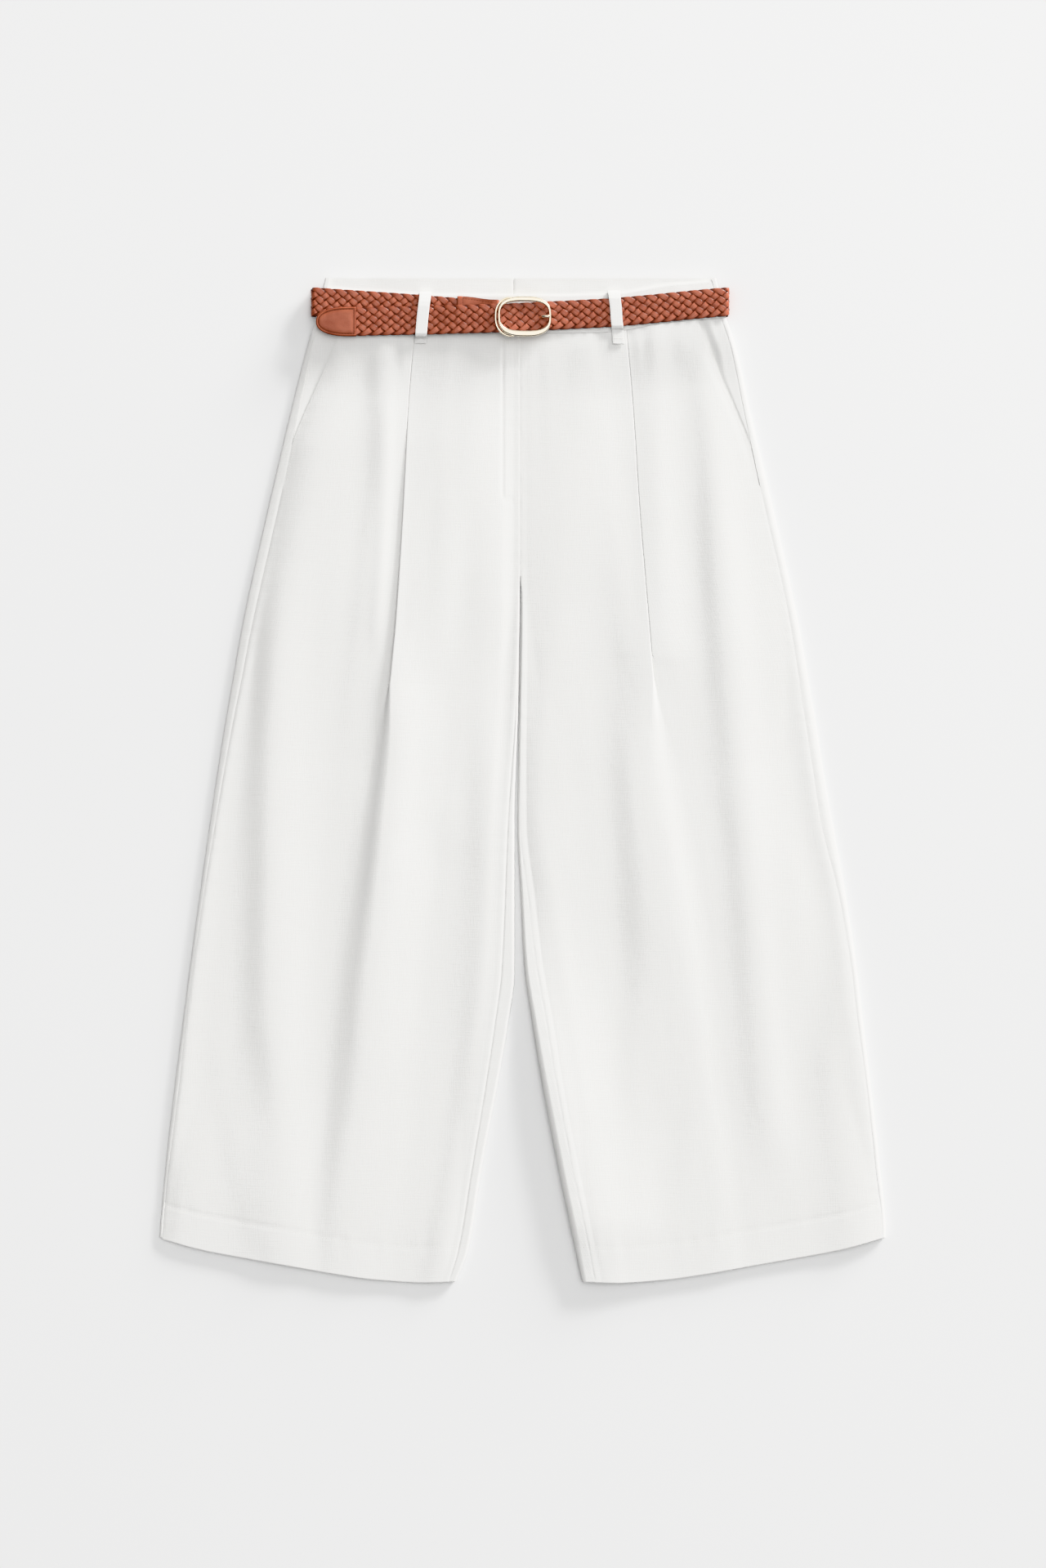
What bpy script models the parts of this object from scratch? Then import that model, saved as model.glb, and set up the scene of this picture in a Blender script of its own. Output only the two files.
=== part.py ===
"""Barrel leg trousers, laid flat on their back, with a braided leather belt.

Frame: metres, +Z up from the floor, +Y towards the waist, +X towards the wearer's left,
which is on the right when the trousers are seen from above. The origin is under the middle
of the bounding box.

Sizes and tables below are in millimetres, and MM turns them into metres as a mesh is made.
A place on a leg is given by two numbers:
  across  distance out from the centre front line, positive towards that leg's side
  drop    distance down from the top edge of the back waistband
Heights are those of a cloth wall's middle surface above the floor.
"""
import math
from collections import namedtuple

import bmesh
import bpy
import numpy as np
from mathutils import Vector

MM = 0.001
COLLECTION_NAME = "barrel_leg_trousers"

# ---------------------------------------------------------------- driving dimensions, mm
LENGTH = 885.0            # waist's top edge to the lowest point of the hems
CENTRE_FRONT_X = -1.8     # the closure line lies just left of the box's middle
CLOTH = 1.1               # wall of a leg panel
GAP = 0.3                 # between pieces that meet
CENTRE_GAP = 0.5          # between the two legs' panels
CURLED_GAP = 0.9          # between edges that meet on a roll
LAYER = 1.45              # from one lying panel's middle surface to the next one's
WAISTBAND_WALL = 1.2
WAISTBAND_WIDTH = 34.0
LOOP_WALL = 1.0
HEM_DEPTH = 32.0
CROTCH_DROP = 285.0
CURL_START = 34.0         # how far above the crotch the inner edges start to curl over

STRAP_WIDTH = 25.2
STRAP_WALL = 3.0

# Heights at the waist, where the belt's back run lies under everything.
LYING_BACK = CLOTH / 2
BACK_BAND = 5.2
FRONT_BAND = 6.7
BACK_RUN = 2.8
FRONT_RUN = 9.1
OVER_RUN = 12.4

# How fast the panels come down from the waist stack to the floor.
BACK_DESCENT = 26.0
FRONT_DESCENT = 62.0

# ---------------------------------------------------------------- tables, mm
LegLevel = namedtuple("LegLevel", "drop outer side_seam inseam inner")
RIGHT_LEVELS = (
    LegLevel(0, 172, 168, 0, 0),
    LegLevel(34, 180, 176, 0, 0),
    LegLevel(60, 188, 183.6, 0, 0),
    LegLevel(115, 202, 195, 0, 0),
    LegLevel(187, 219, 210, 0, 0),
    LegLevel(285, 241, 232, 0.8, 0),
    LegLevel(318, 247.5, 239, 1.4, 0.4),
    LegLevel(350, 253, 245, 2.5, 1),
    LegLevel(390, 260, 253, 5, 2),
    LegLevel(475, 273, 268, 11, 5),
    LegLevel(611, 292, 289, 17, 5),
    LegLevel(658, 298, 295, 23, 11),
    LegLevel(705, 304, 300, 30, 19),
    LegLevel(784, 313, 310, 43, 34),
    LegLevel(856, 319, 317, 55, 46),
    LegLevel(885, 320, 318, 64, 57),
)
LEFT_LEVELS = (
    LegLevel(0, 172, 168, 0, 0),
    LegLevel(34, 181, 177, 0, 0),
    LegLevel(60, 190, 185.6, 0, 0),
    LegLevel(115, 202, 197, 0, 0),
    LegLevel(187, 219, 212, 0, 0),
    LegLevel(285, 241, 234, 0.8, 0),
    LegLevel(318, 247.5, 240, 0.6, -0.3),
    LegLevel(350, 253, 245, 0.3, -0.9),
    LegLevel(390, 260, 251, -0.3, -1.7),
    LegLevel(435, 267, 258, -0.7, -2.5),
    LegLevel(480, 275, 265, -0.4, -3),
    LegLevel(546, 287, 281, 7, 0),
    LegLevel(604, 296, 291, 14, 3),
    LegLevel(655, 302, 297, 23, 10),
    LegLevel(705, 308, 304, 31, 18),
    LegLevel(784, 317, 313, 46, 33),
    LegLevel(842, 322, 319, 58, 45),
    LegLevel(885, 319, 317, 66, 54),
)

# Lowest edge of the hems and top edge of the front waistband, by distance across.
EdgePoint = namedtuple("EdgePoint", "across drop")
HEM_EDGE = (
    EdgePoint(0, 881), EdgePoint(55, 884), EdgePoint(85, 885), EdgePoint(127, 882.5),
    EdgePoint(163, 877.5), EdgePoint(200, 871), EdgePoint(240, 864), EdgePoint(280, 856.5),
    EdgePoint(322, 845),
)
RIGHT_WAIST_EDGE = (
    EdgePoint(0, 14.4), EdgePoint(60, 14.2), EdgePoint(90, 13.7), EdgePoint(120, 12.3),
    EdgePoint(150, 9.8), EdgePoint(182, 7.0),
)
LEFT_WAIST_EDGE = (
    EdgePoint(0, 14.4), EdgePoint(60, 14.2), EdgePoint(90, 12.0), EdgePoint(120, 6.8),
    EdgePoint(150, 3.4), EdgePoint(182, 0.8),
)

# The slanted pocket edge, from the waist seam to the side seam.
PocketEdge = namedtuple("PocketEdge", "drop across")
POCKET_EDGE = (
    PocketEdge(36, 156), PocketEdge(55, 162), PocketEdge(86, 175), PocketEdge(114, 188),
    PocketEdge(140, 199), PocketEdge(158, 205), PocketEdge(183, 210),
)
POCKET_EDGE_END = 183.0
POCKET_INNER = 122.0
POCKET_BOTTOM = 283.0
FACING_UNDERLAP = 14.0

# Forward pleat: where its folded edge runs, how far the cloth doubles back under it, how far it
# turns at each of its two bends (180 degrees lies flat, less has opened) and how high it steps.
PleatLevel = namedtuple("PleatLevel", "drop right_edge left_edge overlap turn step")
PLEAT_LEVELS = (
    PleatLevel(36, 92, 92, 20, 180, 2.9),
    PleatLevel(125, 99, 99, 20, 180, 2.9),
    PleatLevel(258, 107, 109, 15, 180, 2.9),
    PleatLevel(402, 114, 122, 8, 180, 2.9),
    PleatLevel(480, 119, 132, 1.6, 180, 2.9),
    PleatLevel(520, 122, 138, 1.5, 120, 2.9),
    PleatLevel(560, 127, 145, 1.5, 50, 2.8),
    PleatLevel(620, 134, 155, 1.5, 15, 2.5),
    PleatLevel(690, 145, 167, 1.5, 8, 2.0),
    PleatLevel(800, 163, 184, 1.5, 5, 1.5),
    PleatLevel(885, 172, 192, 1.5, 3.6, 1.2),
)
PLEAT_REACH = 28.0        # how far the raised layer takes to settle towards the centre

# The largest soft folds. A crest runs from start to end through three places across.
Fold = namedtuple("Fold", "start end top middle bottom half_width height")
RIGHT_FOLDS = (
    Fold(215, 940, 211, 220, 203, 27, 2.4),
    Fold(330, 940, 30, 33, 88, 15, 2.1),
    Fold(60, 340, 119, 118, 128, 8, 1.0),
    Fold(140, 520, 62, 66, 70, 16, 0.9),
)
LEFT_FOLDS = (
    Fold(66, 940, 171, 208, 252, 17, 2.3),
    Fold(540, 940, 284, 292, 300, 24, 1.7),
    Fold(430, 940, 12, 28, 84, 22, 1.7),
    Fold(150, 560, 44, 52, 58, 16, 1.1),
)
FOLD_LIMIT = 3.3          # soft ceiling on the folds' summed height
BASE_FRONT = LYING_BACK + LAYER

FLY_WIDTH = 33.0
FLY_TOP = 54.0
FLY_BOTTOM = 187.0
ZIP_HALF_WIDTH = 12.0

# ---------------------------------------------------------------- rows down each panel, mm
# Nominal drops. The first row moves to the waist seam and the last to the hem.
LOWER_ROWS = (285, 318, 350, 390, 435, 480, 520, 560, 620, 690, 760, 803, 846, 885)
FRONT_ROWS = (49, 62, 86, 114, 143, 191, 217, 247) + LOWER_ROWS
BACK_ROWS = (34.3, 40, 47, 54, 62, 115, 191, 247, 266) + LOWER_ROWS

Leg = namedtuple("Leg", "name sign levels folds waist_edge pleat_column")
RIGHT = Leg("right", -1, RIGHT_LEVELS, RIGHT_FOLDS, RIGHT_WAIST_EDGE, "right_edge")
LEFT = Leg("left", 1, LEFT_LEVELS, LEFT_FOLDS, LEFT_WAIST_EDGE, "left_edge")
LEGS = (RIGHT, LEFT)


# ---------------------------------------------------------------- curves and surfaces
def column(table, name):
    """One named column of a table, as an array."""
    return np.array([getattr(row, name) for row in table], dtype=float)


def along(table, key, name, at):
    """Read a table's column at any place, on a smooth curve that never overshoots."""
    keys, values = column(table, key), column(table, name)
    steps = np.diff(keys)
    slopes = np.diff(values) / steps
    tangents = np.zeros(len(keys))
    same_way = slopes[:-1] * slopes[1:] > 0
    before, after = slopes[:-1][same_way], slopes[1:][same_way]
    tangents[1:-1][same_way] = 2 * before * after / (before + after)
    tangents[0], tangents[-1] = slopes[0], slopes[-1]
    at = np.clip(np.asarray(at, dtype=float), keys[0], keys[-1])
    span = np.clip(np.searchsorted(keys, at, side="right") - 1, 0, len(steps) - 1)
    width = steps[span]
    t = (at - keys[span]) / width
    return ((1 + 2 * t) * (1 - t) ** 2 * values[span] + t * (1 - t) ** 2 * width * tangents[span]
            + t ** 2 * (3 - 2 * t) * values[span + 1] + t ** 2 * (t - 1) * width * tangents[span + 1])


def ease(value, low, high):
    """0 below low, 1 above high, with a soft start and end between them."""
    t = np.clip((np.asarray(value, dtype=float) - low) / (high - low), 0.0, 1.0)
    return t * t * (3 - 2 * t)


def blend(a, b, weight):
    return a + (b - a) * weight


def loudest(*values):
    """A soft maximum, so that one height passes into another without a crease."""
    return sum(np.maximum(value, 0.0) ** 6 for value in values) ** (1 / 6)


def seam_drop(leg, across):
    """Drop of the front waist seam."""
    return along(leg.waist_edge, "across", "drop", np.abs(across)) + WAISTBAND_WIDTH + GAP


def hem_drop(across):
    return along(HEM_EDGE, "across", "drop", across)


def pleat(leg, name, drop):
    return along(PLEAT_LEVELS, "drop", leg.pleat_column if name == "edge" else name, drop)


def level(leg, name, drop):
    return along(leg.levels, "drop", name, drop)


def side_seam(leg, drop):
    """The side seam, kept inside the roll where front and back meet at the leg's outer edge."""
    lying = BASE_FRONT + LAYER * (1 + ease(drop, LENGTH - 90, LENGTH - 50))
    top = 1 - ease(drop - seam_drop(leg, 178.0), 0, FRONT_DESCENT)
    roll_radius = (blend(lying, FRONT_BAND, top) - back_height(drop)) / 2
    room = CLOTH / 2 + roll_radius + 0.8
    return np.minimum(level(leg, "side_seam", drop), level(leg, "outer", drop) - room)


def back_height(drop):
    """The back panels hang from the belt's back run down to the floor."""
    rise = 1 - ease(drop, WAISTBAND_WIDTH, WAISTBAND_WIDTH + BACK_DESCENT)
    return LYING_BACK + (BACK_BAND - LYING_BACK) * rise


def fold_height(leg, across, drop):
    """Summed crests of the large folds, held under a soft ceiling."""
    total = np.zeros(np.broadcast(across, drop).shape)
    for fold in leg.folds:
        t = (drop - fold.start) / (fold.end - fold.start)
        crest = (fold.top * (1 - 2 * t) * (1 - t) + fold.middle * 4 * t * (1 - t)
                 + fold.bottom * t * (2 * t - 1))
        swell = ease(t, 0.0, 0.3) * (1 - ease(t, 0.85, 1.0))
        total = total + fold.height * swell * np.exp(-((across - crest) / fold.half_width) ** 2)
    return FOLD_LIMIT * np.tanh(total / FOLD_LIMIT)


def front_height(leg, across, drop, folds=True):
    """Middle surface of a front panel, with what it lies on and its large folds."""
    across, drop = np.broadcast_arrays(np.asarray(across, float), np.asarray(drop, float))
    from_hem = hem_drop(across) - drop
    pocket = ease(across, POCKET_INNER - 11, POCKET_INNER + 1)
    pocket = pocket * (1 - ease(drop, POCKET_BOTTOM + 4, POCKET_BOTTOM + 36))
    fly = 1 - ease(across, FLY_WIDTH + 8, FLY_WIDTH + 26)
    fly = fly * (1 - ease(drop, FLY_BOTTOM + 4, FLY_BOTTOM + 30))
    hem = 1 - ease(from_hem, HEM_DEPTH + 7, HEM_DEPTH + 50)
    side = np.exp(-(np.maximum(side_seam(leg, drop) - across, 0) / 13) ** 2)
    inner = np.exp(-(np.maximum(across - level(leg, "inseam", drop), 0) / 10) ** 2)
    inner = inner * ease(drop, 180, 215)
    height = BASE_FRONT + LAYER * loudest(pocket, side, inner, 2 * fly, 2 * hem)
    edge, overlap = pleat(leg, "edge", drop), pleat(leg, "overlap", drop)
    if folds:
        # The folds pass over the pleat's underlay flat.
        beside = np.abs(across - edge + overlap / 2) - overlap / 2 - 6
        calm = np.exp(-(np.maximum(beside, 0) / 8) ** 2) * (1 - ease(drop, 520, 640))
        height = height + fold_height(leg, across, drop) * (1 - calm)
    # Up to the waist seam, which lies over the belt's back run.
    pocket_top = ease(across, 106, 120) * (1 - ease(across, 160, 174))
    dip = ease(across, edge - overlap - 14, edge - overlap - 4)
    dip = dip * (1 - ease(across, edge + 1, edge + 12))
    waist = FRONT_BAND + LAYER * pocket_top - 2.1 * dip * (1 - pocket_top)
    top = 1 - ease(drop - seam_drop(leg, across), 0, FRONT_DESCENT)
    return blend(height, waist, top)


def world(leg_sign, across, drop, height):
    """Millimetre places on a leg, as an array of points in metres."""
    across, drop, height = np.broadcast_arrays(across, drop, height)
    return np.stack([leg_sign * across + CENTRE_FRONT_X, LENGTH / 2 - drop, height], axis=-1) * MM


# ---------------------------------------------------------------- objects and materials
def principled(name, colour, roughness, metallic=0.0):
    material = bpy.data.materials.new(name)
    material.use_nodes = True
    shader = material.node_tree.nodes["Principled BSDF"]
    shader.inputs["Base Color"].default_value = (*colour, 1.0)
    shader.inputs["Roughness"].default_value = roughness
    shader.inputs["Metallic"].default_value = metallic
    return material


FINISHES = {
    "cloth": ((0.86, 0.85, 0.83), 0.9, 0.0),
    "braid": ((0.36, 0.12, 0.06), 0.5, 0.0),
    "leather": ((0.40, 0.13, 0.06), 0.45, 0.0),
    "gold": ((0.86, 0.72, 0.52), 0.22, 1.0),
}


def add_object(name, mesh, finish, collection):
    """Put a mesh in the scene as one named part with a material of its own."""
    item = bpy.data.objects.new(name, mesh)
    collection.objects.link(item)
    mesh.materials.clear()
    mesh.materials.append(principled(name + "_" + finish, *FINISHES[finish]))
    return item


def grid_mesh(name, points):
    """An open surface through a grid of points, rows by columns."""
    rows, columns = points.shape[:2]
    first = np.arange(rows * columns).reshape(rows, columns)[:-1, :-1].ravel()
    faces = np.stack([first, first + 1, first + columns + 1, first + columns], axis=1)
    mesh = bpy.data.meshes.new(name)
    mesh.from_pydata(points.reshape(-1, 3).tolist(), [], faces.tolist())
    mesh.update()
    return mesh


def sheet(name, points, wall, finish, collection):
    """A cloth or leather sheet: an open surface given an even wall."""
    mesh = grid_mesh(name, points)
    mesh.shade_smooth()
    item = add_object(name, mesh, finish, collection)
    shell = item.modifiers.new("wall", "SOLIDIFY")
    shell.thickness = wall * MM
    shell.offset = 0.0
    shell.use_even_offset = True
    return item


def smooth_path(knots, count, closed=False):
    """Points evenly spread in parameter on a Catmull-Rom curve through the knots."""
    knots = np.asarray(knots, dtype=float)
    if closed:
        padded = np.vstack([knots[-1:], knots, knots[:2]])
        spans = len(knots)
    else:
        padded = np.vstack([2 * knots[0] - knots[1], knots, 2 * knots[-1] - knots[-2]])
        spans = len(knots) - 1
    at = np.linspace(0, spans, count, endpoint=not closed)
    span = np.minimum(at.astype(int), spans - 1)
    t = (at - span)[:, None]
    a, b, c, d = (padded[span + k] for k in range(4))
    return 0.5 * (2 * b + (c - a) * t + (2 * a - 5 * b + 4 * c - d) * t ** 2
                  + (3 * b - a - 3 * c + d) * t ** 3)


# ---------------------------------------------------------------- leg panels
# A leg panel as built: the grid of its middle surface, rows down and columns across.
Panel = namedtuple("Panel", "across drop height")


def shifted(leg, nominal, across):
    """Bend a nominal drop so that the first row follows the waist seam and the last the hem."""
    near_top = 1 - ease(nominal, FRONT_ROWS[0], FRONT_ROWS[0] + 90)
    near_hem = ease(nominal, LENGTH - 230, LENGTH)
    return (nominal + (seam_drop(leg, across) - FRONT_ROWS[0]) * near_top
            + (hem_drop(across) - LENGTH) * near_hem)


def front_outer(leg, drop):
    """Outer edge of a front panel: the pocket edge, then the side seam below it."""
    seam = side_seam(leg, drop) - GAP / 2
    pocket = along(POCKET_EDGE, "drop", "across", drop)
    return np.where(drop < POCKET_EDGE_END, np.minimum(pocket, seam), seam)


def inner_edge(leg, drop):
    """The roll at a leg's inner side: its radius and the height of its middle."""
    low = float(back_height(drop))
    high = float(front_height(leg, level(leg, "inseam", drop), drop))
    return (high - low) / 2, (high + low) / 2


def curl_end(leg, drop, radius):
    """Where the inseam lies on the inner roll: degrees up from its middle, and mm beyond it."""
    start = float(level(leg, "inner", drop)) + CENTRE_GAP / 2 + CLOTH / 2 + radius
    beyond = float(level(leg, "inseam", drop)) - start
    if beyond >= 0:
        return 90.0, beyond
    return math.degrees(math.acos(min(1.0, -beyond / radius))), 0.0


def seam_gap(angle):
    """Edges that meet on a bend need more room between them than edges that lie flat."""
    return blend(CURLED_GAP, GAP, min(angle / 90.0, 1.0))


def on_roll(leg, drop, angle, radius, middle, start, distance):
    """A point on the front's way round the inner roll, distance mm on from its top."""
    if distance <= 0:
        across = start - distance
        return across, float(front_height(leg, across, drop))
    turn = math.radians(90.0) - distance / radius
    return start - radius * math.cos(turn), middle + radius * math.sin(turn)


def inner_arc(leg, drop):
    """The last points of a front panel: flat at the centre front, curling in at the crotch."""
    radius, middle = inner_edge(leg, drop)
    rolled = float(ease(drop, CROTCH_DROP - CURL_START, CROTCH_DROP))
    angle, beyond = curl_end(leg, drop, radius)
    turn = math.radians(90.0 - angle) * rolled
    end = turn * radius - beyond * rolled - seam_gap(angle) / 2
    edge = float(level(leg, "inner", drop)) + CENTRE_GAP / 2
    reach = math.sin(turn) if rolled < 1 else 1.0
    start = edge + (radius + CLOTH / 2) * reach
    if rolled <= 0:
        end = 0.0
    spots = [on_roll(leg, drop, angle, radius, middle, start, end - back)
             for back in (2.0, 0.9, 0.0)]
    return np.array([spot[0] for spot in spots]), np.array([spot[1] for spot in spots])


def pleat_section(leg, drop):
    """The pleat cut across: in under the fold, up round a bend, back out, and in again on top.

    Both bends have one radius and turn by one angle, with a straight stretch between them. A
    half turn makes the flat fold; a small angle makes the soft step that it opens into.
    """
    edge, overlap, turn, step = (float(pleat(leg, name, drop))
                                 for name in ("edge", "overlap", "turn", "step"))
    angle = math.radians(turn)
    if turn >= 90:
        radius = step / 4
    else:
        radius = (0.5 + (90 - turn) / 180) * step / (2 * (1 - math.cos(angle)))
    straight = max(overlap - 2 * radius, 0.0)
    if turn < 175:
        straight = (step - 2 * radius * (1 - math.cos(angle))) / math.sin(angle)
    sweep = np.linspace(0, angle, 4)
    lower = np.stack([-radius * np.sin(sweep), radius * (1 - np.cos(sweep))])
    middle = lower[:, -1] + straight / 2 * np.array([-math.cos(angle), math.sin(angle)])
    upper = 2 * middle[:, None] - lower[:, ::-1]
    fold_edge = 2 * middle[0] + radius if turn >= 90 else middle[0]
    lead = max(lower[0, 0] + 3, fold_edge + 2.5)
    across = np.concatenate([[lead], lower[0], upper[0]]) + edge - fold_edge
    lift = np.concatenate([[0.0], lower[1], upper[1]])
    return across, lift, step, min(across.min(), across[-1])


def front_row(leg, nominal):
    """One row across a front panel, from its outer edge over the pleat to the inseam."""
    drop_out = float(shifted(leg, nominal, 150.0 + 170.0 * ease(nominal, 60, 850)))
    drop_in = float(shifted(leg, nominal, 58.0 * ease(nominal, 600, 850)))
    middle = float(shifted(leg, nominal, 100.0 + 80.0 * ease(nominal, 600, 850)))
    outer = float(front_outer(leg, drop_out))
    fold_across, fold_lift, step, under = pleat_section(leg, middle)
    side = np.linspace(outer, fold_across[0] + 9, 9)
    arc_across, arc_height = inner_arc(leg, drop_in)
    centre = np.linspace(fold_across[-1] - 8, arc_across[0] + 3, 6)
    settle = step * (1 - ease(under - 3 - centre, 0, PLEAT_REACH))

    across = np.concatenate([side, fold_across, centre])
    lift = np.concatenate([np.zeros(len(side)), fold_lift, settle])
    drop = shifted(leg, nominal, across)
    height = front_height(leg, across, drop) + lift
    return (np.concatenate([across, arc_across]),
            np.concatenate([drop, shifted(leg, nominal, arc_across)]),
            np.concatenate([height, arc_height]))


def make_front(leg, collection):
    """A front panel, from the waist seam and the slanted pocket edge down to the hem."""
    panel = Panel(*(np.array(part) for part in zip(*(front_row(leg, n) for n in FRONT_ROWS))))
    points = world(leg.sign, panel.across, panel.drop, panel.height)
    sheet("front_leg_" + leg.name, points, CLOTH, "cloth", collection)
    return panel


def centre_back(leg, drop):
    """The centre back seam leans a little to the wearer's right at the waist."""
    lean = 6.0 * (1 - ease(drop, 0, CROTCH_DROP - CURL_START))
    return CENTRE_GAP / 2 - leg.sign * lean


def back_row(leg, drop_out, drop_in):
    """One row across a back panel: side strip, outer roll, floor, inner roll, inseam strip."""
    seam = float(side_seam(leg, drop_out)) + GAP / 2
    outer = float(level(leg, "outer", drop_out)) - CLOTH / 2
    low = float(back_height(drop_out))
    high = float(front_height(leg, seam, drop_out))
    radius, middle = (high - low) / 2, (high + low) / 2
    angles = np.radians([90, 50, 0, -50, -90])
    side_across = np.concatenate([[seam], outer - radius + radius * np.cos(angles)])
    side_height = np.concatenate([[high], middle + radius * np.sin(angles)])

    radius, middle = inner_edge(leg, drop_in)
    low = float(back_height(drop_in))
    rolled = float(ease(drop_in, CROTCH_DROP - CURL_START, CROTCH_DROP))
    angle, beyond = curl_end(leg, drop_in, radius)
    sweep = math.radians(90.0 + angle) * rolled
    end = sweep * radius + (beyond - seam_gap(angle) / 2) * rolled
    reach = math.sin(sweep) if sweep < math.pi / 2 else 1.0
    edge = centre_back(leg, drop_in) + float(level(leg, "inner", drop_in))
    start = edge + (radius + CLOTH / 2) * reach
    quarter_turns = math.pi * radius
    arc_end = min(quarter_turns, 0.75 * end)
    first = -16.0 * (1 - rolled)
    way = np.concatenate([np.linspace(first, arc_end, 7), np.linspace(arc_end, end, 3)[1:]])
    if rolled <= 0:
        way = np.linspace(first, 0, 9)
    turned = np.clip(way, 0, quarter_turns) / radius - math.pi / 2
    straight = np.maximum(way - quarter_turns, 0) + np.maximum(-way, 0)
    inner_across = start - radius * np.cos(turned) + straight
    inner_height = np.where(way <= 0, low, middle + radius * np.sin(turned))

    floor_across = np.linspace(side_across[-1], inner_across[0] + 3, 4)[1:]
    drops = drop_out + (drop_in - drop_out) * np.array([0.33, 0.66, 1.0])
    across = np.concatenate([side_across, floor_across, inner_across])
    drop = np.concatenate([np.full(6, drop_out), drops, np.full(9, drop_in)])
    height = np.concatenate([side_height, back_height(drops), inner_height])
    return across, drop, height


BACK_FLOOR = slice(5, 10)


def make_back(leg, collection):
    """A back panel, lying on the floor and rolled over at both sides to its seams."""
    rows = []
    for nominal in BACK_ROWS:
        near_hem = float(ease(nominal, LENGTH - 230, LENGTH))
        drop_out = nominal + float(hem_drop(320.0) - LENGTH) * near_hem
        drop_in = nominal + float(hem_drop(58.0) - LENGTH) * near_hem
        rows.append(back_row(leg, drop_out, drop_in))
    panel = Panel(*(np.array(part) for part in zip(*rows)))
    # The floor stretch follows the hem's curve.
    nominal = np.array(BACK_ROWS)[:, None]
    near_hem = ease(nominal, LENGTH - 230, LENGTH)
    panel.drop[:, BACK_FLOOR] = nominal + (hem_drop(panel.across[:, BACK_FLOOR]) - LENGTH) * near_hem
    points = world(leg.sign, panel.across, panel.drop, panel.height)
    sheet("back_leg_" + leg.name, points, CLOTH, "cloth", collection)
    return panel


def make_hem(name, leg, panel, columns, lift, collection):
    """A turned-up hem: the panel's own last rows, moved to the panel's inner side."""
    across, drop, height = (part[:, columns] for part in panel)
    rows = []
    for depth in (HEM_DEPTH, HEM_DEPTH / 2, 0.0):
        at = drop[-1] - depth
        row_across = [np.interp(at[k], drop[:, k], across[:, k]) for k in range(len(at))]
        row_height = [np.interp(at[k], drop[:, k], height[:, k]) for k in range(len(at))]
        rows.append((row_across, at, np.array(row_height) + lift))
    across, drop, height = (np.array(part) for part in zip(*rows))
    points = world(leg.sign, across, drop, height)
    sheet(name, points, CLOTH, "cloth", collection)


# ---------------------------------------------------------------- pockets and fly
def make_pocket(leg, collection):
    """The hip facing behind the slanted edge, and the bag that hangs inside from it."""
    top = float(seam_drop(leg, 150.0))
    rows = []
    for nominal in np.linspace(top, 190.0, 8):
        near_top = 1 - ease(nominal, 40, 110)
        side_drop = nominal + float(seam_drop(leg, 178.0) - top) * near_top
        seam = float(side_seam(leg, side_drop)) - GAP
        pocket = min(float(along(POCKET_EDGE, "drop", "across", nominal)), seam)
        room = seam - pocket
        inside = pocket - FACING_UNDERLAP
        across = np.concatenate([[seam], [seam - min(2.0, room / 3 + 1)],
                                 np.linspace(seam - max(room * 0.7, 4.0), inside, 4)])
        drops = nominal + (seam_drop(leg, across) - top) * near_top
        front = front_height(leg, across, drops, folds=False)
        under = np.maximum(front - LAYER, back_height(drops) + LAYER)
        # Beside the side seam it comes up level with the back panel's edge.
        up = (1 - ease(seam - across, 1.5, max(room * 0.75, 3.0))) * ease(room, 4.0, 8.0)
        rows.append((across, drops, blend(under, front, up)))
    across, drop, height = (np.array(part) for part in zip(*rows))
    points = world(leg.sign, across, drop, height)
    sheet("pocket_facing_" + leg.name, points, CLOTH, "cloth", collection)

    rows = []
    for nominal in np.linspace(top, POCKET_BOTTOM, 9):
        near_top = 1 - ease(nominal, 40, 110)
        seam = float(side_seam(leg, nominal)) - GAP / 2
        pocket = min(float(along(POCKET_EDGE, "drop", "across", nominal)), seam)
        beside_facing = pocket - FACING_UNDERLAP - 1.2
        outer = blend(beside_facing, seam - 9, float(ease(nominal, 193, 224)))
        corner = float(ease(nominal, POCKET_BOTTOM - 34, POCKET_BOTTOM)) ** 2
        across = np.linspace(outer - 22 * corner, POCKET_INNER + 2 + 26 * corner, 6)
        drops = nominal + (seam_drop(leg, across) - top) * near_top
        height = front_height(leg, across, drops, folds=False) - LAYER - 0.18
        rows.append((across, drops, height))
    across, drop, height = (np.array(part) for part in zip(*rows))
    points = world(leg.sign, across, drop, height)
    sheet("pocket_bag_" + leg.name, points, CLOTH, "cloth", collection)


def make_fly(collection):
    """Fly facing and zip tape in one layer under the fronts, and the shield under both."""
    def strip(name, start, end, bottom, layers):
        drops, across = np.meshgrid(np.linspace(FLY_TOP, bottom, 6),
                                    np.linspace(start, end, 3), indexing="ij")
        right = front_height(RIGHT, np.abs(across), drops, folds=False)
        left = front_height(LEFT, np.abs(across), drops, folds=False)
        points = world(1, across, drops, np.minimum(right, left) - layers * LAYER)
        sheet(name, points, CLOTH, "cloth", collection)

    strip("fly_facing", -FLY_WIDTH, -ZIP_HALF_WIDTH - GAP, FLY_BOTTOM, 1)
    strip("fly_zip", -ZIP_HALF_WIDTH, ZIP_HALF_WIDTH, FLY_BOTTOM - 6, 1)
    strip("fly_shield", -FLY_WIDTH + 3, ZIP_HALF_WIDTH + 4, FLY_BOTTOM, 2)


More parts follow.
